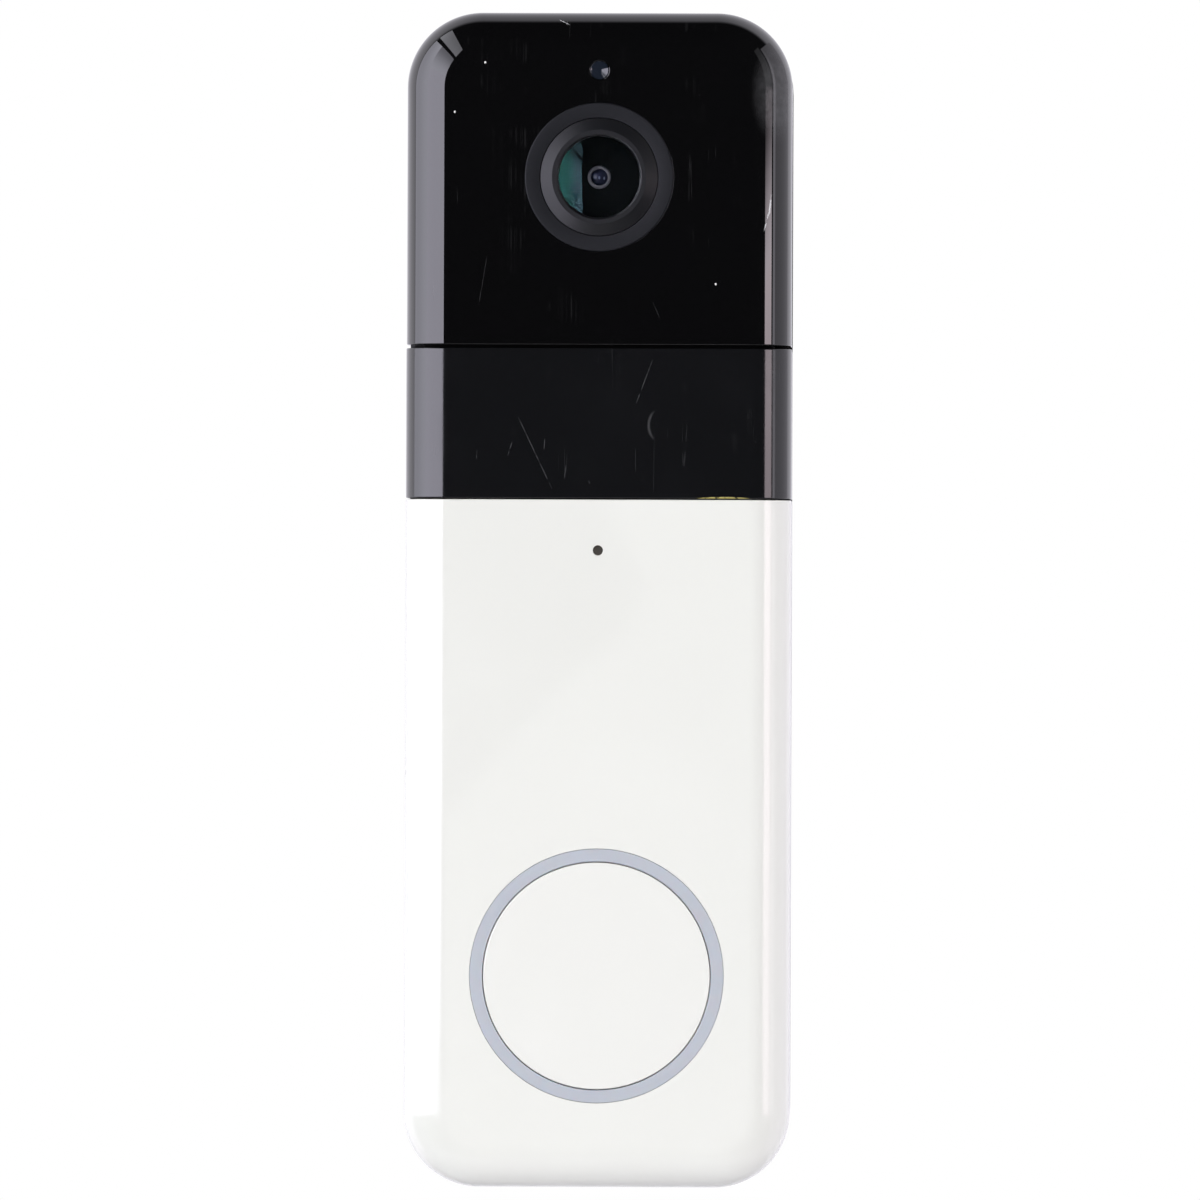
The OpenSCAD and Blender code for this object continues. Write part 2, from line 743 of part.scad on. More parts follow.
// Round call button with its skirt, its catch rim and its centre boss.
module button_cap() color("#f2f2f1") facing() translate([0, button_y, 0]) rotate_extrude()
  polygon([
    [0, front_z], [cap_r, front_z], [cap_r, catch_z + 0.8], [cap_r + 0.8, catch_z + 0.8],
    [cap_r + 0.8, catch_z], [cap_r - 1, catch_z], [cap_r - 1, cap_z], [2.5, cap_z], [2.5, boss_z], [0, boss_z]
  ]);

// Translucent ring round the button, with its flange behind the housing.
module light_ring() color("#c9cdd8") facing() translate([0, button_y, 0]) rotate_extrude()
  polygon([
    [ring_r - ring_w, front_z], [ring_r, front_z], [ring_r, skin_z - 0.1], [ring_r + 1.2, skin_z - 0.1],
    [ring_r + 1.2, 26.4], [ring_r - 0.6, 26.4], [ring_r - 0.6, skin_z], [ring_r - ring_w, skin_z]
  ]);

// Board behind the button.
module button_board() color("#1d5a3a") facing() difference() {
  plate(0, button_y, 39.6, 33, 1.5, button_board_z, switch_z);
  at_screws([-1]) disc(0, 0, 3.3, 0, 40);
  button_posts() disc(0, 0, 0.95, 0, 40);
}

// Four screws that hold the button's board.
module button_board_screws() color("silver") facing() button_posts() {
  disc(0, 0, 1.6, 23.4, button_board_z);
  disc(0, 0, 0.8, button_board_z - tiny, 27.2);
}

// Twelve lamps that light the ring.
module ring_leds() color("#fff4d0") facing() translate([0, button_y, 0])
  for (a = [0:30:330]) rotate([0, 0, a]) block([14.6, 16.2], [-0.8, 0.8], [switch_z, switch_z + 0.6]);

// Body of the switch under the button.
module switch_body() color("#202124") facing() difference() {
  plate(0, button_y, 6, 6, 0.4, switch_z, switch_z + 1.2);
  disc(0, button_y, 1.5, switch_z + 0.1, 40);
}

// Plunger of the switch, which moves with the button.
module switch_plunger() color("#e6e0d0") facing() disc(0, button_y, 1.3, plunger_z, boss_z);

// Silicone bellows that pushes the button back.
module button_return_pad() color("#b9bbc0") facing() translate([0, button_y, 0]) rotate_extrude()
  polygon([[11.4, switch_z], [10.4, switch_z], [8.2, 27.6], [8.2, cap_z], [9.4, cap_z], [11.4, 26.2]]);

wall_bracket();
bracket_clip();
clip_rivets();
front_housing();
camera_cover();
pir_window();
inner_frame();
rear_housing();
housing_seal();
housing_screws();
lens_trim_ring();
lens_bezel();
front_lens();
aperture_disc();
pupil_lens();
lens_barrel();
lens_holder();
image_sensor();
sensor_board();
ir_board();
ir_emitters();
light_pipe();
light_sensor();
pir_sensor();
pir_holder();
microphone_board();
microphone();
microphone_gasket();
main_board();
processor();
radio_shield();
antenna();
board_connector();
board_spacers();
board_screws();
battery_cells();
battery_tabs();
battery_board();
battery_cradle();
battery_plug();
usb_socket();
usb_cover();
usb_cover_stud();
terminal_block();
terminal_plates();
terminal_screws();
setup_button();
setup_switch();
speaker_frame();
speaker_cone();
speaker_gasket();
speaker_mesh();
button_cap();
light_ring();
button_board();
button_board_screws();
ring_leds();
switch_body();
switch_plunger();
button_return_pad();
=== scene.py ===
"""Looks of the battery video doorbell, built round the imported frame.

Shapes are drawn in a front view, in millimetres: x to the right, y up and z out from the wall.
`Form.piece` stands a finished shape up in the row frame, in metres, and gives it its finish.
"""

import logging
import math
from collections.abc import Iterable, Sequence
from dataclasses import dataclass, field
from enum import Enum
from typing import Any, ClassVar

import bmesh
import bpy
from mathutils import Matrix, Vector


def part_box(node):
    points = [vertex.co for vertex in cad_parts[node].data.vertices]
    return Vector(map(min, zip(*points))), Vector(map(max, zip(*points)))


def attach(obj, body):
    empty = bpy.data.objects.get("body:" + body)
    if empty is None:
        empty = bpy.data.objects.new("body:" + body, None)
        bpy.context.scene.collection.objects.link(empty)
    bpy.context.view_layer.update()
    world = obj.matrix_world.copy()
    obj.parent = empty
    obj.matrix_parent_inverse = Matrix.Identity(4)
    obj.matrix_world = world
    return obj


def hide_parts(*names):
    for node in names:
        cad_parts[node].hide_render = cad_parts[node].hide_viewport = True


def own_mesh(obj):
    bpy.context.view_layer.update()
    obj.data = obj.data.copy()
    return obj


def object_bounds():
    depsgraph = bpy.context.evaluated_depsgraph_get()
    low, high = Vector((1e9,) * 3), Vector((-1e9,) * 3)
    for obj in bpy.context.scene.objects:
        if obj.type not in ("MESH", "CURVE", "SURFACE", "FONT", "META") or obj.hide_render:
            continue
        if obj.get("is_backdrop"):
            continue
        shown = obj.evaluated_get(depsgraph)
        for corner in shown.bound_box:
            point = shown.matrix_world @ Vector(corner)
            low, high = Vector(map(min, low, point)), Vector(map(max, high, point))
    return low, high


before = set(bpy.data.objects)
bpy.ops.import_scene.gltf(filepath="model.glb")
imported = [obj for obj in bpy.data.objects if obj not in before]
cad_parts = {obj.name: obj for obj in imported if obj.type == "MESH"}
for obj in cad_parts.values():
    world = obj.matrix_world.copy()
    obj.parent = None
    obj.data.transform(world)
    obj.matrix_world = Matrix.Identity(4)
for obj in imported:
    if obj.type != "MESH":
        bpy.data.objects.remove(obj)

CAD_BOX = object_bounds()
LOG = logging.getLogger("doorbell")
MM = 0.001
WELD = 1e-5  # merge distance of a drawn form, in millimetres
NODE_WELD = 2e-6  # merge distance of a CAD node's mesh, in metres
PARALLEL = 0.999  # cosine above which an edge runs along an axis
FACING = Matrix.Scale(MM, 4) @ Matrix.Rotation(math.pi / 2, 4, "X")
Colour = tuple[float, float, float]
Point2 = tuple[float, float]


# ---------------------------------------------------------------- shader tools


@dataclass(frozen=True)
class Signal:
    """A shader value that takes part in Python sums."""

    shader: "Shader"
    socket: bpy.types.NodeSocket

    def _maths(self, operation: str, *values: Any) -> "Signal":
        """Adds one Math node."""
        return self.shader.maths(operation, *values)

    def __add__(self, other: Any) -> "Signal":
        """Returns the sum."""
        return self._maths("ADD", self, other)

    __radd__ = __add__

    def __mul__(self, other: Any) -> "Signal":
        """Returns the product."""
        return self._maths("MULTIPLY", self, other)

    __rmul__ = __mul__

    def __sub__(self, other: Any) -> "Signal":
        """Returns the difference."""
        return self._maths("SUBTRACT", self, other)

    def __rsub__(self, other: Any) -> "Signal":
        """Returns the difference the other way round."""
        return self._maths("SUBTRACT", other, self)

    def __truediv__(self, other: Any) -> "Signal":
        """Returns the quotient."""
        return self._maths("DIVIDE", self, other)

    def __abs__(self) -> "Signal":
        """Returns the size without its sign."""
        return self._maths("ABSOLUTE", self)

    def above(self, limit: float) -> "Signal":
        """Returns 1 where the value is over the limit and 0 elsewhere."""
        return self._maths("GREATER_THAN", self, limit)

    def power(self, exponent: float) -> "Signal":
        """Returns the value raised to a power."""
        return self._maths("POWER", self, exponent)

    def ramp(self, low: float, high: float) -> "Signal":
        """Returns 0 at low, 1 at high and a smooth step between; low may be the larger.

        Args:
            low: the value that gives 0.
            high: the value that gives 1.

        Returns:
            The stepped signal.
        """
        node = self.shader.node(
            "ShaderNodeMapRange",
            {"interpolation_type": "SMOOTHSTEP", "clamp": True},
            {"Value": self, "From Min": low, "From Max": high, "To Min": 0.0, "To Max": 1.0},
        )
        return Signal(self.shader, node.outputs["Result"])


class Shader:
    """One material under construction."""

    def __init__(self, name: str) -> None:
        """Makes an empty principled material.

        Args:
            name: the material's name.
        """
        self.material = bpy.data.materials.new(name)
        self.material.use_nodes = True
        self.tree = self.material.node_tree
        self.surface = self.tree.nodes["Principled BSDF"]

    def node(self, kind: str, settings: dict[str, Any], inputs: dict[Any, Any]) -> bpy.types.Node:
        """Adds any node.

        Args:
            kind: the node's type.
            settings: its properties, set first.
            inputs: values or links for its sockets, by name or index.

        Returns:
            The new node.
        """
        made = self.tree.nodes.new(kind)
        for key, value in settings.items():
            setattr(made, key, value)
        for key, value in inputs.items():
            self.feed(made.inputs[key], value)
        return made

    def feed(self, socket: bpy.types.NodeSocket, value: Any) -> None:
        """Sets a socket to a number or colour, or links it.

        Args:
            socket: the input socket.
            value: a Signal, a socket, a number, or a colour or vector.
        """
        if isinstance(value, Signal):
            self.tree.links.new(value.socket, socket)
        elif isinstance(value, bpy.types.NodeSocket):
            self.tree.links.new(value, socket)
        elif socket.type == "RGBA" and len(value) == 3:
            socket.default_value = (*value, 1.0)
        else:
            socket.default_value = value

    def maths(self, operation: str, *values: Any) -> Signal:
        """Adds a Math node.

        Args:
            operation: the Math node's operation.
            values: its inputs in order.

        Returns:
            Its result.
        """
        made = self.node("ShaderNodeMath", {"operation": operation}, dict(enumerate(values)))
        return Signal(self, made.outputs[0])

    def place(self, turn: float = 0.0, scale: Sequence[float] = (1.0, 1.0, 1.0), shift: float = 0.0) -> Any:
        """Returns object coordinates, turned about the depth axis and scaled.

        Args:
            turn: degrees about the row frame's Y axis.
            scale: factors along X, Y and Z.
            shift: an offset that gives another part of the same pattern.

        Returns:
            A vector socket.
        """
        coords = self.node("ShaderNodeTexCoord", {}, {})
        made = self.node(
            "ShaderNodeMapping",
            {},
            {
                "Vector": coords.outputs["Object"],
                "Location": (shift, shift, shift),
                "Rotation": (0.0, math.radians(turn), 0.0),
                "Scale": tuple(scale),
            },
        )
        return made.outputs["Vector"]

    def noise(self, size: float, detail: float = 2.0, vector: Any = None, shift: float = 0.0) -> Signal:
        """Returns cloudy noise from 0 to 1.

        Args:
            size: the size of a cloud, in millimetres, or of one unit of the given vector.
            detail: octaves of finer noise.
            vector: coordinates to use in place of the object's.
            shift: an offset that gives another part of the same pattern.

        Returns:
            The noise.
        """
        base = self.place(shift=shift) if vector is None else vector
        scale = 1.0 / (size * MM) if vector is None else 1.0 / size
        made = self.node(
            "ShaderNodeTexNoise", {}, {"Vector": base, "Scale": scale, "Detail": detail, "Roughness": 0.55}
        )
        return Signal(self, made.outputs["Fac"])

    def hairlines(self, turn: float, gap: float, length: float, width: float, shift: float = 0.0) -> Signal:
        """Returns long thin scratches, 1 on a line and 0 between.

        Args:
            turn: the lines' lean from upright, in degrees.
            gap: the usual distance between lines, in millimetres.
            length: the usual length of a line, in millimetres.
            width: a line's share of the gap.
            shift: an offset that gives another set of lines.

        Returns:
            The scratches.
        """
        squeeze = (1.0 / (gap * MM), 1.0 / (length * MM), 1.0 / (length * MM))
        field_ = self.noise(1.0, 0.0, self.place(turn, squeeze, shift))
        line = abs(field_ - 0.5).ramp(width, 0.0)
        patches = self.noise(length * 0.06, 1.0, shift=shift + 3.7).ramp(0.58, 0.7)
        fields = self.noise(16.0, 0.0, shift=shift + 9.1).ramp(0.5, 0.62)
        return line * patches * fields

    def along(self, axis: str) -> Signal:
        """Returns one of the object's coordinates.

        Args:
            axis: "X", "Y" or "Z" of the row frame.

        Returns:
            The coordinate in millimetres.
        """
        split = self.node("ShaderNodeSeparateXYZ", {}, {"Vector": self.place()})
        return Signal(self, split.outputs[axis]) / MM

    def stroke(self, start: Point2, end: Point2, width: float) -> Signal:
        """Returns one straight scratch on the front, broken up a little.

        Args:
            start: where it starts, in millimetres in the front view.
            end: where it ends.
            width: its width.

        Returns:
            1 on the scratch and 0 elsewhere.
        """
        run = Vector(end) - Vector(start)
        lead = run.normalized()
        x, y = self.along("X") - start[0], self.along("Z") - start[1]
        forward = x * lead.x + y * lead.y
        sideways = x * lead.y - y * lead.x
        tail = forward.ramp(0.0, 0.2 * run.length) * forward.ramp(run.length, 0.7 * run.length)
        return abs(sideways).ramp(width, 0.2 * width) * tail * self.noise(0.8, 1.0).ramp(0.3, 0.6)

    def crescent(self, centre: Point2, radius: float, reach: float, width: float) -> Signal:
        """Returns one curved scratch on the front, open to the right.

        Args:
            centre: the middle of its curve, in millimetres in the front view.
            radius: the radius of its curve.
            reach: half its height.
            width: its width.

        Returns:
            1 on the scratch and 0 elsewhere.
        """
        x, y = self.along("X") - centre[0], self.along("Z") - centre[1]
        ring = abs((x * x + y * y).power(0.5) - radius).ramp(width, 0.0)
        return ring * abs(y).ramp(reach, 0.4 * reach) * x.ramp(0.1, -0.1)

    def spot(self, centre: Point2, across: float, up: float, soft: float = 0.5) -> Signal:
        """Returns one round or oval patch on the front.

        Args:
            centre: its middle, in millimetres in the front view.
            across: half its width.
            up: half its height.
            soft: how much of it the fading edge takes, from 0 to 1.

        Returns:
            1 in its middle and 0 outside it.
        """
        x, y = (self.along("X") - centre[0]) / across, (self.along("Z") - centre[1]) / up
        return (x * x + y * y).ramp(1.0, 1.0 - soft)

    def specks(self, cell: float, size: float, share: float) -> Signal:
        """Returns scattered round specks.

        Args:
            cell: the size of a cell that may hold one speck, in millimetres.
            size: the largest radius of a speck, in millimetres.
            share: the share of the cells that hold one.

        Returns:
            1 on a speck and 0 elsewhere.
        """
        made = self.node(
            "ShaderNodeTexVoronoi", {"feature": "F1"}, {"Vector": self.place(), "Scale": 1.0 / (cell * MM)}
        )
        split = self.node("ShaderNodeSeparateColor", {}, {"Color": made.outputs["Color"]})
        chance = Signal(self, split.outputs["Red"]).above(1.0 - share)
        reach = Signal(self, split.outputs["Green"]) * (0.7 * size / cell) + 0.3 * size / cell
        inside = (reach - Signal(self, made.outputs["Distance"])).above(0.0)
        return inside * chance

    def blend(self, factor: Any, first: Any, second: Any) -> Any:
        """Mixes two colours.

        Args:
            factor: 0 for the first and 1 for the second.
            first: a colour or a colour socket.
            second: a colour or a colour socket.

        Returns:
            The mixed colour's socket.
        """
        made = self.node("ShaderNodeMix", {"data_type": "RGBA"}, {0: factor, 6: first, 7: second})
        return made.outputs[2]

    def relief(self, height: Signal, depth: float) -> None:
        """Gives the surface a bump.

        Args:
            height: the relief from 0 to 1.
            depth: its depth in millimetres.
        """
        made = self.node("ShaderNodeBump", {}, {"Strength": 1.0, "Distance": depth * MM, "Height": height})
        self.feed(self.surface.inputs["Normal"], made.outputs["Normal"])

    def finish(self, **sockets: Any) -> bpy.types.Material:
        """Feeds the principled surface.

        Args:
            sockets: values by socket name, with underscores for spaces.

        Returns:
            The finished material.
        """
        for name, value in sockets.items():
            self.feed(self.surface.inputs[name.replace("_", " ")], value)
        return self.material

    def layer(self, factor: Signal, **sockets: Any) -> None:
        """Lays a second principled surface over the first.

        Args:
            factor: 0 for the first surface and 1 for the second.
            sockets: the second surface's values by socket name.
        """
        values = {name.replace("_", " "): value for name, value in sockets.items()}
        second = self.node("ShaderNodeBsdfPrincipled", {}, values)
        both = self.node("ShaderNodeMixShader", {}, {0: factor, 1: self.surface.outputs[0], 2: second.outputs[0]})
        self.feed(self.tree.nodes["Material Output"].inputs["Surface"], both.outputs[0])


# ---------------------------------------------------------------- finishes


class Finish:
    """A surface finish that is made once and shared."""

    _made: ClassVar[dict[Any, bpy.types.Material]] = {}

    def material(self) -> bpy.types.Material:
        """Returns the finish's material, made on first use."""
        if self not in Finish._made:
            Finish._made[self] = self.build()
        return Finish._made[self]

    def build(self) -> bpy.types.Material:
        """Makes the material."""
        raise NotImplementedError


@dataclass(frozen=True)
class GlossPlastic(Finish):
    """Polished plastic with dust, hairline scratches and faint smears."""

    name: str
    colour: Colour
    roughness: float = 0.03
    dust: float = 0.0
    dust_colour: Colour = (0.5, 0.5, 0.5)
    scratches: float = 0.0
    haze: float = 0.02
    tint: float = 0.0
    index: float = 1.49
    strokes: tuple[tuple[Point2, Point2, float], ...] = ()
    crescents: tuple[tuple[Point2, float, float, float], ...] = ()
    chips: tuple[tuple[Point2, Point2, float], ...] = ()
    stains: tuple[tuple[Point2, float, float], ...] = ()
    crumbs: tuple[Point2, ...] = ()
    hazes: tuple[tuple[Point2, float, float], ...] = ()

    def build(self) -> bpy.types.Material:
        """Makes the material."""
        shader = Shader(self.name)
        smears = shader.noise(14.0, 3.0).ramp(0.45, 0.75)
        flow = shader.noise(30.0, 1.0, shift=5.0)
        colour = shader.blend(flow * self.tint, self.colour, tuple(0.82 * part for part in self.colour))
        rough = self.roughness + smears * self.haze
        if self.scratches > 0.0:
            upright = shader.hairlines(3.0, 0.4, 60.0, 0.03)
            leaning = shader.hairlines(-28.0, 0.9, 80.0, 0.016, 8.0)
            lines = shader.maths("MAXIMUM", upright * 0.12, leaning * 0.3)
            for mark in self.strokes:
                lines = shader.maths("MAXIMUM", lines, shader.stroke(*mark) * 0.6)
            for mark in self.crescents:
                lines = shader.maths("MAXIMUM", lines, shader.crescent(*mark) * 0.5)
            colour = shader.blend(lines * self.scratches, colour, (0.3, 0.3, 0.32))
            rough = rough + lines * 0.15
        for mark in self.chips:
            chip = shader.stroke(*mark)
            colour = shader.blend(chip, colour, (0.75, 0.75, 0.78))
            rough = rough + chip * 0.4
        if self.dust > 0.0:
            specks = shader.maths("MAXIMUM", shader.specks(4.2, 0.16, self.dust), shader.specks(1.7, 0.05, self.dust))
            colour = shader.blend(specks, colour, self.dust_colour)
            rough = rough + specks * 0.5
        for mark in self.hazes:
            haze = shader.spot(*mark, 1.0) * (shader.noise(0.9, 5.0).ramp(0.25, 0.8) * 0.5 + 0.5)
            colour = shader.blend(haze * 0.42, colour, (0.11, 0.11, 0.118))
            rough = rough + haze * 0.08
        for middle in self.crumbs:
            crumb = shader.spot(middle, 0.12, 0.15)
            colour = shader.blend(crumb, colour, (0.85, 0.85, 0.85))
            rough = rough + crumb * 0.5
        for mark in self.stains:
            stain = shader.spot(*mark) * shader.noise(0.6, 1.0).ramp(0.3, 0.5)
            colour = shader.blend(stain, colour, (0.42, 0.36, 0.1))
            rough = rough + stain * 0.3
        shader.relief(shader.noise(2.6, 1.0), 0.0006)
        return shader.finish(Base_Color=colour, Roughness=rough, IOR=self.index)


@dataclass(frozen=True)
class Moulded(Finish):
    """Matte moulded plastic with a fine spark-eroded grain."""

    name: str
    colour: Colour
    roughness: float = 0.5
    grain: float = 0.25
    depth: float = 0.012
    rub: float = 0.06
    shine: float = 0.5

    def build(self) -> bpy.types.Material:
        """Makes the material."""
        shader = Shader(self.name)
        grain = shader.noise(self.grain, 3.0)
        wear = shader.noise(9.0, 3.0, shift=2.0).ramp(0.5, 0.8)
        light = tuple(min(1.0, part * 1.4) for part in self.colour)
        colour = shader.blend(wear * 0.35 + grain * 0.25, self.colour, light)
        shader.relief(grain, self.depth)
        rough = self.roughness - wear * self.rub + grain * 0.08
        return shader.finish(Base_Color=colour, Roughness=rough, Specular_IOR_Level=self.shine)


@dataclass(frozen=True)
class Rubber(Finish):
    """Soft rubber with a dull, slightly dusty skin."""

    name: str
    colour: Colour
    roughness: float = 0.75

    def build(self) -> bpy.types.Material:
        """Makes the material."""
        shader = Shader(self.name)
        bloom = shader.noise(3.0, 4.0).ramp(0.45, 0.8)
        pores = shader.noise(0.12, 2.0)
        pale = tuple(min(1.0, part * 1.8 + 0.01) for part in self.colour)
        shader.relief(pores, 0.01)
        return shader.finish(
            Base_Color=shader.blend(bloom * 0.5, self.colour, pale), Roughness=self.roughness + pores * 0.12
        )


@dataclass(frozen=True)
class Metal(Finish):
    """Drawn or turned metal with fine lines and slight staining."""

    name: str
    colour: Colour = (0.62, 0.61, 0.6)
    roughness: float = 0.26
    grain: float = 0.08
    stain: float = 0.25

    def build(self) -> bpy.types.Material:
        """Makes the material."""
        shader = Shader(self.name)
        squeeze = (1.0 / (self.grain * MM), 1.0 / (self.grain * MM), 1.0 / (4.0 * MM))
        lines = shader.noise(1.0, 2.0, shader.place(0.0, squeeze))
        stain = shader.noise(2.2, 3.0, shift=4.0).ramp(0.5, 0.8)
        dull = tuple(part * 0.62 for part in self.colour)
        shader.relief(lines, 0.002)
        return shader.finish(
            Base_Color=shader.blend(stain * self.stain, self.colour, dull),
            Metallic=1.0,
            Roughness=self.roughness + lines * 0.12 + stain * 0.1,
        )


@dataclass(frozen=True)
class CircuitBoard(Finish):
    """Solder mask over copper tracks, with bare pads."""

    name: str
    mask: Colour = (0.008, 0.075, 0.03)

    def build(self) -> bpy.types.Material:
        """Makes the material."""
        shader = Shader(self.name)
        tracks = shader.node(
            "ShaderNodeTexVoronoi",
            {"feature": "DISTANCE_TO_EDGE"},
            {"Vector": shader.place(), "Scale": 1.0 / (1.6 * MM)},
        )
        copper = Signal(shader, tracks.outputs["Distance"]).ramp(0.09, 0.06)
        pads = shader.specks(1.1, 0.3, 0.25)
        mask = shader.blend(copper, self.mask, tuple(part * 2.0 + 0.01 for part in self.mask))
        shader.relief(copper, 0.02)
        return shader.finish(
            Base_Color=shader.blend(pads, mask, (0.75, 0.6, 0.3)),
            Metallic=pads,
            Roughness=0.32 - copper * 0.08,
        )


@dataclass(frozen=True)
class CoatedGlass(Finish):
    """Clear lens glass whose coating dims its mirror image, green at one side and grey at the other."""

    name: str
    index: float = 1.27
    tint: Colour = (0.26, 1.0, 0.8)
    second_tint: Colour = (0.5, 0.9, 1.0)
    body: Colour = (0.93, 0.97, 0.96)

    def build(self) -> bpy.types.Material:
        """Makes the material."""
        shader = Shader(self.name)
        film = shader.noise(3.0, 2.0).ramp(0.3, 0.8)
        sockets = {
            "Base_Color": shader.blend(film * 0.15, self.body, (0.85, 0.95, 0.93)),
            "Roughness": film * 0.004,
            "IOR": self.index,
            "Transmission_Weight": 1.0,
        }
        across = shader.along("X").ramp(-4.3, -2.2) + shader.noise(1.6, 1.0, shift=2.0) * 0.5 - 0.25
        shader.layer(across.ramp(0.0, 1.0), Specular_Tint=(*self.second_tint, 1.0), **sockets)
        return shader.finish(Specular_Tint=(*self.tint, 1.0), **sockets)


@dataclass(frozen=True)
class Pupil(Finish):
    """Dark bluish glass of the innermost lens, with painted glints: pale spots in its colour that stand for
    reflections off the lenses behind it.
    """

    name: str
    colour: Colour = (0.012, 0.014, 0.026)
    # painted highlights: centre, half width and half height of each pale glint spot
    painted_glints: tuple[tuple[Point2, float, float], ...] = ()

    def build(self) -> bpy.types.Material:
        """Makes the material."""
        shader = Shader(self.name)
        cloud = shader.noise(0.7, 2.0)
        colour = shader.blend(cloud, self.colour, (0.022, 0.024, 0.05))
        # painted highlights: each glint is a pale bluish spot blended into the base colour
        for mark in self.painted_glints:
            colour = shader.blend(shader.spot(*mark, 0.9), colour, (0.16, 0.18, 0.27))
        return shader.finish(
            Base_Color=colour,
            Roughness=0.06 + cloud * 0.05,
            IOR=1.2,
        )


@dataclass(frozen=True)
class Diffuser(Finish):
    """Milky satin plastic of the lit ring and of the lamps."""

    name: str
    colour: Colour
    roughness: float = 0.34

    def build(self) -> bpy.types.Material:
        """Makes the material."""
        shader = Shader(self.name)
        milk = shader.noise(4.0, 3.0)
        pale = tuple(min(1.0, part * 1.04) for part in self.colour)
        shader.relief(shader.noise(0.3, 2.0), 0.002)
        return shader.finish(
            Base_Color=shader.blend(milk, self.colour, pale),
            Roughness=self.roughness + milk * 0.06,
            Subsurface_Weight=0.2,
            Subsurface_Scale=0.4 * MM,
        )


@dataclass(frozen=True)
class ShrinkFilm(Finish):
    """Printed shrink film round the cells, faintly creased."""

    name: str
    colour: Colour

    def build(self) -> bpy.types.Material:
        """Makes the material."""
        shader = Shader(self.name)
        creases = shader.hairlines(70.0, 1.4, 7.0, 0.05)
        shade = shader.noise(8.0, 2.0)
        dark = tuple(part * 0.7 for part in self.colour)
        shader.relief(creases, 0.03)
        return shader.finish(Base_Color=shader.blend(shade * 0.6, self.colour, dark), Roughness=0.3 + shade * 0.1)


@dataclass(frozen=True)
class WovenMesh(Finish):
    """Fine black mesh behind the speaker's slots."""

    name: str
    pitch: float = 0.45

    def build(self) -> bpy.types.Material:
        """Makes the material."""
        shader = Shader(self.name)
        waves = []
        for direction in ("X", "Y"):
            made = shader.node(
                "ShaderNodeTexWave",
                {"wave_type": "BANDS", "bands_direction": direction},
                {"Vector": shader.place(), "Scale": 0.314 / (self.pitch * MM)},
            )
            waves.append(Signal(shader, made.outputs["Fac"]))
        weave = shader.maths("MAXIMUM", *waves)
        shader.relief(weave, 0.08)
        return shader.finish(
            Base_Color=shader.blend(weave.ramp(0.4, 0.9), (0.004, 0.004, 0.004), (0.09, 0.09, 0.095)),
            Metallic=0.6,
            Roughness=0.45 - weave * 0.1,
        )


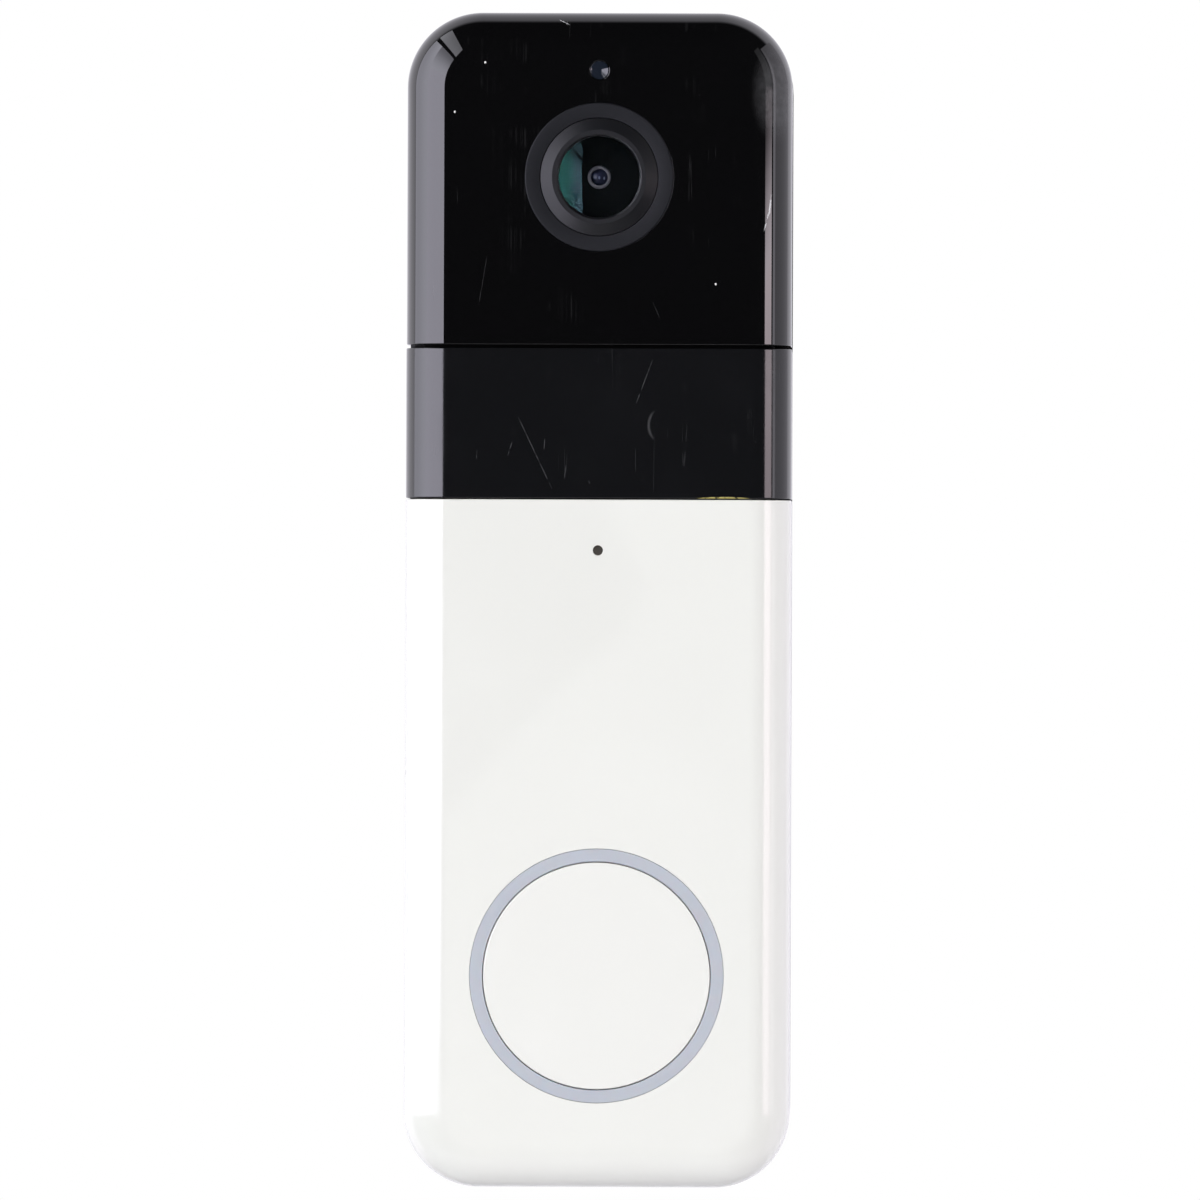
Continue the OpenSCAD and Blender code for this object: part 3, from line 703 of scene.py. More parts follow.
class Finishes(Enum):
    """Every finish on the doorbell."""

    WHITE_SHELL = GlossPlastic(
        "white_shell",
        (0.798, 0.802, 0.778),
        roughness=0.1,
        dust=0.02,
        dust_colour=(0.62, 0.6, 0.56),
        haze=0.05,
        tint=0.03,
    )
    WHITE_BUTTON = GlossPlastic(
        "white_button",
        (0.795, 0.797, 0.776),
        roughness=0.14,
        dust=0.015,
        dust_colour=(0.66, 0.62, 0.55),
        haze=0.05,
        tint=0.04,
    )
    BLACK_COVER = GlossPlastic(
        "black_cover",
        (0.0028, 0.0028, 0.0032),
        roughness=0.015,
        dust=0.035,
        scratches=0.22,
        index=1.5,
        strokes=(
            ((-13.2, 41.5), (-14.6, 33.0), 0.04),
            ((6.2, 36.0), (7.4, 33.2), 0.04),
        ),
        chips=(
            ((20.5, 48.4), (20.2, 45.6), 0.13),
            ((20.25, 46.4), (19.6, 43.8), 0.08),
            ((-4.9, 69.1), (-3.5, 68.4), 0.07),
        ),
        crumbs=((-13.6, 63.9), (-17.2, 58.0), (13.9, 37.6)),
        hazes=(((21.2, 60.5), 3.4, 6.5),),
    )
    DARK_WINDOW = GlossPlastic(
        "dark_window",
        (0.0058, 0.0061, 0.0072),
        roughness=0.1,
        dust=0.025,
        dust_colour=(0.4, 0.4, 0.4),
        scratches=0.25,
        haze=0.05,
        index=1.5,
        strokes=(
            ((-9.8, 22.3), (-5.1, 12.4), 0.08),
            ((6.6, 29.0), (4.2, 22.6), 0.07),
            ((-10.2, 18.9), (-10.8, 17.0), 0.07),
            ((-3.8, 16.1), (-4.05, 14.2), 0.07),
            ((-6.35, 19.2), (-6.45, 17.8), 0.07),
            ((-1.35, 14.9), (-0.95, 13.7), 0.07),
            ((-14.4, 17.9), (-14.5, 16.6), 0.06),
        ),
        crescents=(((8.6, 20.8), 2.6, 2.0, 0.25),),
        stains=(((14.9, 12.1), 3.4, 0.22),),
    )
    LENS_RING = Moulded(
        "lens_ring",
        (0.0072, 0.0076, 0.0098),
        roughness=0.42,
        grain=0.18,
        depth=0.003,
        rub=0.03,
        shine=0.13,
    )
    LENS_BEZEL = Moulded(
        "lens_bezel",
        (0.006, 0.0063, 0.0078),
        roughness=0.36,
        grain=0.15,
        depth=0.002,
        rub=0.02,
        shine=0.22,
    )
    REAR_SHELL = Moulded("rear_shell", (0.022, 0.0225, 0.025), roughness=0.48, grain=0.35, depth=0.02)
    BRACKET = Moulded("bracket_plastic", (0.03, 0.031, 0.034), roughness=0.52, grain=0.4, depth=0.024)
    INNER_BLACK = Moulded("inner_black", (0.012, 0.012, 0.013), roughness=0.55, grain=0.3, depth=0.01)
    DEEP_BLACK = Moulded(
        "deep_black",
        (0.0015, 0.0015, 0.0016),
        roughness=0.7,
        grain=0.2,
        depth=0.004,
        rub=0.0,
        shine=0.06,
    )
    FUNNEL = Moulded("pupil_funnel", (0.09, 0.086, 0.096), grain=0.1, depth=0.001, rub=0.0, shine=0.3)
    MIC_FELT = Moulded(
        "microphone_felt",
        (0.07, 0.063, 0.056),
        roughness=0.8,
        grain=0.12,
        depth=0.01,
        rub=0.0,
        shine=0.2,
    )
    CREAM = Moulded("cream_plastic", (0.72, 0.67, 0.56), roughness=0.45)
    CRADLE = Moulded("cradle_plastic", (0.66, 0.66, 0.65), roughness=0.42)
    CONE = Moulded("speaker_cone", (0.03, 0.03, 0.034), roughness=0.6)
    SETUP = Moulded("setup_plastic", (0.55, 0.13, 0.035), roughness=0.38, grain=0.3, depth=0.008)
    CHIP = Moulded("chip_epoxy", (0.018, 0.018, 0.02), roughness=0.4, grain=0.12, depth=0.006)
    RUBBER = Rubber("black_rubber", (0.012, 0.012, 0.013))
    SILICONE = Rubber("clear_silicone", (0.42, 0.44, 0.47), roughness=0.5)
    STEEL = Metal("plated_steel")
    SPRING = Metal("spring_steel", (0.55, 0.55, 0.56), roughness=0.2, grain=0.05, stain=0.1)
    BRASS = Metal("brass_plate", (0.72, 0.54, 0.26), roughness=0.24)
    COPPER = Metal("copper_foil", (0.72, 0.38, 0.22), roughness=0.3)
    BOARD = CircuitBoard("circuit_board")
    LENS_GLASS = CoatedGlass("lens_glass")
    PIPE_GLASS = GlossPlastic("pipe_glass", (0.012, 0.016, 0.026), roughness=0.04, haze=0.03)
    DARK_GLASS = GlossPlastic("dark_glass", (0.03, 0.03, 0.05), roughness=0.08)
    PUPIL = Pupil(
        "pupil_glass",
        # painted highlights: two pale spots standing for glints off the lenses behind the pupil
        painted_glints=(((0.0, 50.25), 0.14, 0.22), ((0.56, 50.2), 0.12, 0.24)),
    )
    LIT_RING = Diffuser("lit_ring", (0.465, 0.492, 0.555))
    LAMP = Diffuser("lamp", (0.85, 0.78, 0.5), roughness=0.25)
    CELL_FILM = ShrinkFilm("cell_film", (0.05, 0.15, 0.4))
    MESH = WovenMesh("speaker_mesh")

    def material(self) -> bpy.types.Material:
        """Returns the finish's material."""
        return self.value.material()


# ---------------------------------------------------------------- shaping tools


@dataclass(frozen=True)
class Span:
    """A CAD node's box in the front view, in millimetres."""

    x0: float
    x1: float
    y0: float
    y1: float
    z0: float
    z1: float

    @classmethod
    def of(cls, node: str) -> "Span":
        """Reads a node's box from the frame.

        Args:
            node: the CAD node's name.

        Returns:
            Its span.
        """
        low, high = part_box(node)
        sides = (low.x, high.x, low.z, high.z, -high.y, -low.y)
        return cls(*(side / MM for side in sides))

    @property
    def centre(self) -> Point2:
        """The middle of the span seen from the front."""
        return (self.x0 + self.x1) / 2, (self.y0 + self.y1) / 2

    @property
    def radius(self) -> float:
        """Half the width."""
        return (self.x1 - self.x0) / 2


def arc(centre: Point2, radius: float, start: float, end: float, steps: int = 6) -> list[Point2]:
    """Returns points along an arc of a profile.

    Args:
        centre: the arc's centre, as radius and height.
        radius: the arc's radius.
        start: first angle in degrees, from the outward direction towards the front.
        end: last angle in degrees.
        steps: number of segments.

    Returns:
        The points, both ends included.
    """
    turns = [math.radians(start + (end - start) * i / steps) for i in range(steps + 1)]
    return [(centre[0] + radius * math.cos(t), centre[1] + radius * math.sin(t)) for t in turns]


def linked(name: str, data: bpy.types.ID) -> bpy.types.Object:
    """Adds an object to the scene.

    Args:
        name: the object's name.
        data: its mesh, lamp or camera.

    Returns:
        The new object.
    """
    made = bpy.data.objects.new(name, data)
    bpy.context.scene.collection.objects.link(made)
    return made


class Form:
    """A mesh under construction in the front view."""

    def __init__(self) -> None:
        """Starts with an empty mesh."""
        self.mesh = bmesh.new()

    @classmethod
    def lathe(cls, profile: Sequence[Point2], centre: Point2, steps: int = 96) -> "Form":
        """Turns a profile about an axis that points out of the front.

        Args:
            profile: radius and height of each point; the ends are joined or lie on the axis.
            centre: the axis seen from the front.
            steps: segments round the axis.

        Returns:
            The turned form.
        """
        form = cls()
        rim = [form.mesh.verts.new((radius, 0.0, height)) for radius, height in profile]
        pairs = list(zip(rim, rim[1:]))
        if profile[0][0] > 0.0:
            pairs.append((rim[-1], rim[0]))
        edges = [form.mesh.edges.new(pair) for pair in pairs]
        bmesh.ops.spin(
            form.mesh,
            geom=rim + edges,
            cent=(0.0, 0.0, 0.0),
            axis=(0.0, 0.0, 1.0),
            angle=math.tau,
            steps=steps,
            use_merge=True,
        )
        form.weld()
        bmesh.ops.translate(form.mesh, verts=form.mesh.verts, vec=(*centre, 0.0))
        return form

    @classmethod
    def block(cls, low: Sequence[float], high: Sequence[float]) -> "Form":
        """Makes a box between two corners.

        Args:
            low: the lowest corner.
            high: the highest corner.

        Returns:
            The box.
        """
        form = cls()
        middle = Vector(low).lerp(Vector(high), 0.5)
        bmesh.ops.create_cube(form.mesh, size=1.0)
        bmesh.ops.scale(form.mesh, vec=Vector(high) - Vector(low), verts=form.mesh.verts)
        bmesh.ops.translate(form.mesh, vec=middle, verts=form.mesh.verts)
        return form

    def weld(self) -> None:
        """Merges doubles and turns the faces outwards."""
        bmesh.ops.remove_doubles(self.mesh, verts=self.mesh.verts, dist=WELD)
        bmesh.ops.recalc_face_normals(self.mesh, faces=self.mesh.faces)

    def bevel(self, edges: Iterable[bmesh.types.BMEdge], size: float, segments: int) -> None:
        """Rounds edges.

        Args:
            edges: the edges to round.
            size: the radius of a square edge's rounding.
            segments: facets across the rounding.
        """
        bmesh.ops.bevel(
            self.mesh,
            geom=list(edges),
            offset=size,
            offset_type="OFFSET",
            segments=segments,
            profile=0.5,
            affect="EDGES",
            material=-1,
            clamp_overlap=True,
        )

    def upright_edges(self) -> list[bmesh.types.BMEdge]:
        """Returns the edges that run straight out from the wall."""
        return [e for e in self.mesh.edges if abs((e.verts[0].co - e.verts[1].co).normalized().z) > PARALLEL]

    def rim(self, normal: Sequence[float]) -> list[bmesh.types.BMEdge]:
        """Returns the outline of the flat face that looks along a direction.

        Args:
            normal: the face's direction.

        Returns:
            The edges between that face and its neighbours.
        """
        found = [f for f in self.mesh.faces if f.normal.dot(Vector(normal)) > 0.9999]
        return [e for f in found for e in f.edges if any(n not in found for n in e.link_faces)]

    def slice(self, height: float, keep_above: bool) -> None:
        """Cuts the form at a height and closes the cut.

        Args:
            height: where to cut, along y.
            keep_above: whether the upper part stays.
        """
        cut = bmesh.ops.bisect_plane(
            self.mesh,
            geom=list(self.mesh.verts) + list(self.mesh.edges) + list(self.mesh.faces),
            plane_co=(0.0, height, 0.0),
            plane_no=(0.0, -1.0 if keep_above else 1.0, 0.0),
            clear_outer=True,
            dist=WELD,
        )
        loop = [item for item in cut["geom_cut"] if isinstance(item, bmesh.types.BMEdge)]
        bmesh.ops.contextual_create(self.mesh, geom=loop)
        self.weld()

    def loose_object(self, name: str) -> bpy.types.Object:
        """Turns the mesh into an object and frees it.

        Args:
            name: the object's name.

        Returns:
            The object, still in the front view.
        """
        data = bpy.data.meshes.new(name)
        self.mesh.to_mesh(data)
        self.mesh.free()
        return linked(name, data)

    def smooth_object(self, name: str) -> bpy.types.Object:
        """Turns the mesh into an object with smooth faces.

        Args:
            name: the object's name.

        Returns:
            The object.
        """
        for face in self.mesh.faces:
            face.smooth = True
        return self.loose_object(name)

    def carve(self, cutters: Iterable["Form"]) -> "Form":
        """Cuts other forms out of this one, one after the other.

        Args:
            cutters: the forms to remove.

        Returns:
            The carved form.
        """
        target = self.loose_object("carved")
        for cutter in cutters:
            tool = cutter.loose_object("cutter")
            step = target.modifiers.new("cut", "BOOLEAN")
            step.operation = "DIFFERENCE"
            step.solver = "EXACT"
            step.object = tool
            graph = bpy.context.evaluated_depsgraph_get()
            result = bpy.data.meshes.new_from_object(target.evaluated_get(graph))
            target.modifiers.clear()
            target.data = result
            bpy.data.objects.remove(tool)
        carved = Form()
        carved.mesh.from_mesh(target.data)
        bpy.data.objects.remove(target)
        bmesh.ops.remove_doubles(carved.mesh, verts=carved.mesh.verts, dist=WELD)
        bmesh.ops.dissolve_degenerate(carved.mesh, edges=carved.mesh.edges, dist=WELD)
        return carved

    def piece(
        self, name: str, body: str, finish: Finishes, slot: str, nodes: Sequence[str], crease: float = 32.0
    ) -> bpy.types.Object:
        """Stands the form up in the row frame, dresses it and hands it to the frame.

        Args:
            name: the piece's name.
            body: the CAD body that it rides on.
            finish: its surface finish.
            slot: the record's material slot; not used.
            nodes: the CAD nodes that it stands for.
            crease: the angle in degrees above which an edge stays sharp.

        Returns:
            The finished piece.
        """
        bmesh.ops.transform(self.mesh, matrix=FACING, verts=self.mesh.verts)
        return hand_over(self.smooth_object(name), body, finish, slot, nodes, crease)


def hand_over(
    made: bpy.types.Object, body: str, finish: Finishes, slot: str, nodes: Sequence[str], crease: float
) -> bpy.types.Object:
    """Shades a piece, dresses it and hands it to the frame.

    Args:
        made: the piece, in the row frame.
        body: the CAD body that it rides on.
        finish: its surface finish.
        slot: the record's material slot; not used.
        nodes: the CAD nodes that it stands for.
        crease: the angle in degrees above which an edge stays sharp.

    Returns:
        The same piece.
    """
    made.data.set_sharp_from_angle(angle=math.radians(crease))
    weighted = made.modifiers.new("even_shading", "WEIGHTED_NORMAL")
    weighted.mode = "FACE_AREA"
    weighted.weight = 50
    weighted.keep_sharp = True
    made.data.materials.append(finish.material())
    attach(made, body)
    if nodes:
        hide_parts(*nodes)
    LOG.info("%s: %d faces on %s", made.name, len(made.data.polygons), body)
    return made


def polished(node: str, name: str, body: str, finish: Finishes, slot: str, edge: float) -> bpy.types.Object:
    """Copies a CAD node's shape, joins its loose facets and softens its edges.

    Args:
        node: the CAD node.
        name: the piece's name.
        body: the CAD body that it rides on.
        finish: its surface finish.
        slot: the record's material slot; not used.
        edge: the rounding of its edges, in millimetres.

    Returns:
        The finished piece.
    """
    form = Form()
    shape = form.mesh
    shape.from_mesh(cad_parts[node].data)
    bmesh.ops.remove_doubles(shape, verts=shape.verts, dist=NODE_WELD)
    bmesh.ops.dissolve_limit(
        shape, angle_limit=math.radians(0.4), verts=shape.verts, edges=shape.edges, delimit={"NORMAL"}
    )
    sharp = [e for e in shape.edges if len(e.link_faces) == 2 and e.calc_face_angle(0.0) > math.radians(38.0)]
    form.bevel(sharp, edge * MM, 2)
    return hand_over(form.smooth_object(name), body, finish, slot, [node], 30.0)


# ---------------------------------------------------------------- sub-assemblies


@dataclass
class FrontShells:
    """The white housing, the dark motion window and the black camera cover."""

    corner: float = 9.0
    edge: float = 5.0
    wall: float = 2.0
    seam_round: float = 0.13
    cover_inset: float = 0.05
    corner_steps: int = 28
    edge_steps: int = 18
    microphone_radius: float = 0.6
    slot_pitch: float = 3.0
    slot_half: float = 0.6

    def solid(self, inset: float, low: float, high: float, back: float, front: float) -> Form:
        """Makes the body's outline as a solid, moved inwards all round.

        Args:
            inset: how far each side, the ends apart, moves inwards.
            low: the lowest height.
            high: the highest height.
            back: the level of its back.
            front: the level of its front.

        Returns:
            The solid.
        """
        half = Span.of("pir_window").radius - inset
        corner = self.corner - (self.wall if inset >= self.wall else 0.0)
        edge = self.edge - (self.wall if inset >= self.wall else 0.0)
        form = Form.block((-half, low, back), (half, high, front))
        form.bevel(form.upright_edges(), corner, self.corner_steps)
        form.bevel(form.rim((0.0, 0.0, 1.0)), edge, self.edge_steps)
        form.weld()
        return form

    def shell(self, node: str, inset: float, holes: Sequence[Form]) -> Form:
        """Makes one of the three shells.

        Args:
            node: the CAD node that gives its height and depth.
            inset: how much narrower it is than the body, on each side.
            holes: the cutters for its openings.

        Returns:
            The hollow shell.
        """
        span = Span.of(node)
        low, high = Span.of("front_housing").y0, Span.of("camera_cover").y1
        outer = self.solid(inset, low, high, span.z0, span.z1)
        for height, above, at_end in ((span.y0, True, low), (span.y1, False, high)):
            if abs(height - at_end) > 1e-3:
                outer.slice(height, above)
                rim = [
                    e
                    for e in outer.rim((0.0, -1.0 if above else 1.0, 0.0))
                    if min(v.co.z for v in e.verts) > span.z0 + 1e-3
                    or abs(e.verts[0].co.z - e.verts[1].co.z) > 1e-3
                ]
                outer.bevel(rim, self.seam_round, 3)
        cavity = self.solid(self.wall, low + self.wall, high - self.wall, span.z0 - 3.0, span.z1 - self.wall)
        return outer.carve([cavity, *holes])

    def hole(self, centre: Point2, radius: float, front: float, flare: float, deep: float = 4.0) -> Form:
        """Makes the cutter of a round hole with a softly rounded mouth.

        Args:
            centre: the hole's centre.
            radius: its radius.
            front: the level of the surface that it opens in.
            flare: the rounding of its mouth.
            deep: how far it reaches in.

        Returns:
            The cutter.
        """
        mouth = arc((radius + flare, front - flare), flare, 180.0, 90.0, 5)
        end, above = front - deep, front + 1.0
        profile = [(0.0, end), (radius, end), *mouth, (radius + flare, above), (0.0, above)]
        return Form.lathe(profile, centre, 96)

    def build(self) -> None:
        """Makes and dresses the three shells."""
        ring, microphone = Span.of("light_ring"), Span.of("microphone_gasket")
        trim, pipe = Span.of("lens_trim_ring"), Span.of("light_pipe")
        front = Span.of("front_housing").z1
        cap_hole = self.hole(ring.centre, CallButton().ring_radius + 0.04, front, 0.05)
        mic_hole = self.hole(microphone.centre, self.microphone_radius, front, 0.12)
        slots = [self.slot(i * self.slot_pitch) for i in range(-3, 4)]
        felt_radius, felt_back, felt_front = 0.585, front - 1.4, front - 0.8
        felt = [(0.0, felt_back), (felt_radius, felt_back), (felt_radius, felt_front), (0.0, felt_front)]
        Form.lathe(felt, microphone.centre, 32).piece(
            "microphone_felt", "doorbell", Finishes.MIC_FELT, "black_rubber", []
        )
        bosses = self.shell("front_housing", 0.0, [cap_hole, mic_hole, *slots])
        bosses.piece("white_housing", "doorbell", Finishes.WHITE_SHELL, "white_shell", ["front_housing"])
        lens_hole = self.hole(trim.centre, CameraEye().trim_radius + 0.02, front, 0.04)
        pipe_hole = self.hole(pipe.centre, pipe.radius + 0.04, front, 0.1)
        cover = self.shell("camera_cover", self.cover_inset, [lens_hole, pipe_hole])
        cover.piece("camera_cover_shell", "doorbell", Finishes.BLACK_COVER, "black_cover", ["camera_cover"])
        window = self.shell("pir_window", 0.0, [])
        window.piece("motion_window", "doorbell", Finishes.DARK_WINDOW, "window_plastic", ["pir_window"])

    def slot(self, x: float) -> Form:
        """Makes the cutter of one speaker slot in the bottom wall.

        Args:
            x: the slot's place across the body.

        Returns:
            The cutter, with round ends.
        """
        bottom = Span.of("front_housing").y0
        form = Form.block(
            (x - self.slot_half, bottom - 1.0, 11.6), (x + self.slot_half, bottom + self.wall + 1.0, 20.0)
        )
        along = [e for e in form.mesh.edges if abs((e.verts[0].co - e.verts[1].co).normalized().y) > PARALLEL]
        form.bevel(along, 0.58, 6)
        return form


@dataclass
class CameraEye:
    """The ring, the raised bezel, the domed glass and what shows through it."""

    trim_radius: float = 8.85
    bezel_radius: float = 7.0
    lip_radius: float = 5.6
    glass_radius: float = 4.8
    dome: float = 0.6
    funnel_radius: float = 1.35
    pupil_radius: float = 0.96

    def build(self) -> None:
        """Makes and dresses the camera's visible parts."""
        centre = Span.of("lens_bezel").centre
        self.trim(centre)
        self.bezel(centre)
        self.glass(centre)
        self.inside(centre)
        self.light_window()

    def trim(self, centre: Point2) -> None:
        """Makes the matte ring, with its flange behind the cover.

        Args:
            centre: the lens centre.
        """
        span = Span.of("lens_trim_ring")
        inner, outer, top = self.bezel_radius + 0.05, self.trim_radius, span.z1
        profile = [
            (inner, span.z0),
            (span.radius, span.z0),
            (span.radius, span.z0 + 0.7),
            (outer, span.z0 + 0.7),
            *arc((outer - 0.16, top - 0.16), 0.16, 0.0, 90.0),
            *arc((inner + 0.06, top - 0.06), 0.06, 90.0, 180.0, 3),
        ]
        form = Form.lathe(profile, centre, 160)
        form.piece("lens_ring", "doorbell", Finishes.LENS_RING, "trim_plastic", ["lens_trim_ring"], 40.0)

    def bezel(self, centre: Point2) -> None:
        """Makes the raised slope, the flat lip and the step down to the glass.

        Args:
            centre: the lens centre.
        """
        span = Span.of("lens_bezel")
        top, ring_top = span.z1, Span.of("lens_trim_ring").z1
        bore = self.glass_radius + 0.05
        profile = [
            (bore, span.z0),
            (self.bezel_radius, span.z0),
            (self.bezel_radius, ring_top - 0.09),
            (self.bezel_radius - 0.03, ring_top - 0.06),
            (self.lip_radius + 0.03, top - 0.015),
            (self.lip_radius, top),
            (self.glass_radius + 0.3, top),
            (self.glass_radius + 0.22, top - 0.05),
            (bore + 0.02, top - 0.3),
            (bore, top - 0.34),
        ]
        form = Form.lathe(profile, centre, 160)
        form.piece("lens_surround", "doorbell", Finishes.LENS_BEZEL, "trim_plastic", ["lens_bezel"], 12.0)

    def glass(self, centre: Point2) -> None:
        """Makes the domed front glass.

        Args:
            centre: the lens centre.
        """
        span = Span.of("front_lens")
        ball = (self.glass_radius**2 + self.dome**2) / (2 * self.dome)
        tilt = math.degrees(math.asin(self.glass_radius / ball))
        dome = arc((0.0, span.z1 - ball), ball, 90.0 - tilt, 90.0, 20)
        profile = [(0.0, span.z0), (self.glass_radius - 0.02, span.z0), *dome[:-1], (0.0, span.z1)]
        form = Form.lathe(profile, centre, 128)
        form.piece("domed_glass", "doorbell", Finishes.LENS_GLASS, "lens_glass", ["front_lens"], 40.0)

    def inside(self, centre: Point2) -> None:
        """Makes the black disc, the funnel and the pupil behind the glass.

        Args:
            centre: the lens centre.
        """
        disc = Span.of("aperture_disc")
        funnel_top = (self.funnel_radius, disc.z1)
        plate = [(self.funnel_radius + 0.02, disc.z0), (disc.radius, disc.z0), (disc.radius, disc.z1), funnel_top]
        Form.lathe(plate, centre, 96).piece(
            "lens_baffle", "doorbell", Finishes.DEEP_BLACK, "black_plastic", ["aperture_disc"], 40.0
        )
        throat = [
            (self.pupil_radius, disc.z0),
            (self.funnel_radius, disc.z0),
            *arc((self.funnel_radius - 0.2, disc.z1 - 0.22), 0.2, 0.0, 180.0, 10),
        ]
        Form.lathe(throat, centre, 64).piece(
            "pupil_ring", "doorbell", Finishes.FUNNEL, "black_plastic", [], 50.0
        )
        pupil = Span.of("pupil_lens")
        ball = 1.6
        tilt = math.degrees(math.asin(pupil.radius / ball))
        dome = arc((0.0, pupil.z1 - ball), ball, 90.0 - tilt, 90.0, 12)
        profile = [(0.0, pupil.z0), (pupil.radius, pupil.z0), *dome[:-1], (0.0, pupil.z1)]
        Form.lathe(profile, centre, 64).piece(
            "pupil", "doorbell", Finishes.PUPIL, "lens_glass", ["pupil_lens"], 40.0
        )

    def light_window(self) -> None:
        """Makes the light sensor's rod, with its dished end."""
        span = Span.of("light_pipe")
        dish = 2.4
        tilt = math.degrees(math.asin((span.radius - 0.06) / dish))
        bowl = arc((0.0, span.z1 + dish - 0.36), dish, -90.0 + tilt, -90.0, 12)
        profile = [
            (0.0, span.z0),
            (span.radius, span.z0),
            *arc((span.radius - 0.06, span.z1 - 0.1), 0.06, 0.0, 90.0, 4),
            *bowl[:-1],
            (0.0, span.z1 - 0.36),
        ]
        form = Form.lathe(profile, span.centre, 64)
        form.piece("light_rod", "doorbell", Finishes.PIPE_GLASS, "sensor_glass", ["light_pipe"], 35.0)


@dataclass
class CallButton:
    """The round call button and the lit ring."""

    ring_radius: float = 15.1
    ring_width: float = 1.5
    gap: float = 0.11
    cap_round: float = 0.14

    def build(self) -> None:
        """Makes and dresses the button and the ring."""
        ring, cap = Span.of("light_ring"), Span.of("button_cap")
        skin = ring.z1 - 2.0
        inner = self.ring_radius - self.ring_width
        profile = [
            (self.ring_radius - 0.6, ring.z0),
            (ring.radius, ring.z0),
            (ring.radius, skin - 0.1),
            (self.ring_radius, skin - 0.1),
            *arc((self.ring_radius - 0.07, ring.z1 - 0.07), 0.07, 0.0, 90.0, 4),
            *arc((inner + 0.07, ring.z1 - 0.07), 0.07, 90.0, 180.0, 4),
            (inner, skin),
            (self.ring_radius - 0.6, skin),
        ]
        Form.lathe(profile, ring.centre, 192).piece(
            "lit_ring", "doorbell", Finishes.LIT_RING, "ring_plastic", ["light_ring"], 50.0
        )
        edge = inner - self.gap
        top = cap.z1
        profile = [
            (0.0, cap.z0 + 0.3),
            (2.5, cap.z0 + 0.3),
            (2.5, cap.z1 - 1.6),
            (edge - 1.0, cap.z1 - 1.6),
            (edge - 1.0, cap.z0),
            (edge + 0.8, cap.z0),
            (edge + 0.8, cap.z0 + 0.8),
            (edge, cap.z0 + 0.8),
            *arc((edge - self.cap_round, top - self.cap_round), self.cap_round, 0.0, 90.0, 6),
            (edge * 0.8, top - 0.01),
            (edge * 0.4, top - 0.03),
            (0.0, top - 0.04),
        ]
        Form.lathe(profile, cap.centre, 192).piece(
            "call_button_cap", "call_button", Finishes.WHITE_BUTTON, "button_plastic", ["button_cap"], 40.0
        )


@dataclass(frozen=True)
class Detail:
    """A CAD part that is copied, softened at its edges and dressed.

    A part that gives way names the joint, the depth it is pressed towards and the share it keeps.
    """

    node: str
    name: str
    body: str
    finish: Finishes
    slot: str
    edge: float
    give: tuple[str, float, float] | None = None


@dataclass
class BackAndBracket:
    """The rear shell, the bracket and the small parts that show from behind and below."""

    details: Sequence[Detail] = (
        Detail("rear_housing", "rear_shell", "doorbell", Finishes.REAR_SHELL, "black_plastic", 0.18),
        Detail("wall_bracket", "bracket_plate", "bracket", Finishes.BRACKET, "bracket_plastic", 0.2),
        Detail(
            "bracket_clip",
            "spring_catch",
            "bracket",
            Finishes.SPRING,
            "spring_steel",
            0.05,
            ("lift_off", -0.0024, 0.25),
        ),
        Detail("clip_rivets", "catch_rivets", "bracket", Finishes.STEEL, "spring_steel", 0.1),
        Detail("housing_screws", "shell_screws", "doorbell", Finishes.STEEL, "steel", 0.12),
        Detail("terminal_block", "wire_block", "doorbell", Finishes.INNER_BLACK, "black_plastic", 0.15),
        Detail("terminal_plates", "wire_plates", "doorbell", Finishes.BRASS, "brass_plate", 0.08),
        Detail("terminal_screws", "wire_screws", "doorbell", Finishes.STEEL, "steel", 0.12),
        Detail("usb_cover", "charging_flap_rubber", "charging_flap", Finishes.RUBBER, "black_rubber", 0.15),
        Detail("usb_cover_stud", "flap_anchor", "doorbell", Finishes.RUBBER, "black_rubber", 0.15),
        Detail("usb_socket", "charging_socket", "doorbell", Finishes.STEEL, "steel", 0.05),
        Detail("setup_button", "setup_key", "setup_button", Finishes.SETUP, "setup_plastic", 0.2),
        Detail("housing_seal", "shell_seal", "doorbell", Finishes.RUBBER, "black_rubber", 0.05),
        Detail("speaker_frame", "speaker_basket", "doorbell", Finishes.INNER_BLACK, "black_plastic", 0.1),
        Detail(
            "button_return_pad",
            "return_pad",
            "doorbell",
            Finishes.SILICONE,
            "clear_rubber",
            0.1,
            ("call_button_press", -0.0254, 0.8),
        ),
    )

    def build(self) -> None:
        """Makes every listed part."""
        for item in self.details:
            made = polished(item.node, item.name, item.body, item.finish, item.slot, item.edge)
            if item.give:
                joint, depth, keep = item.give
                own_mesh(made)


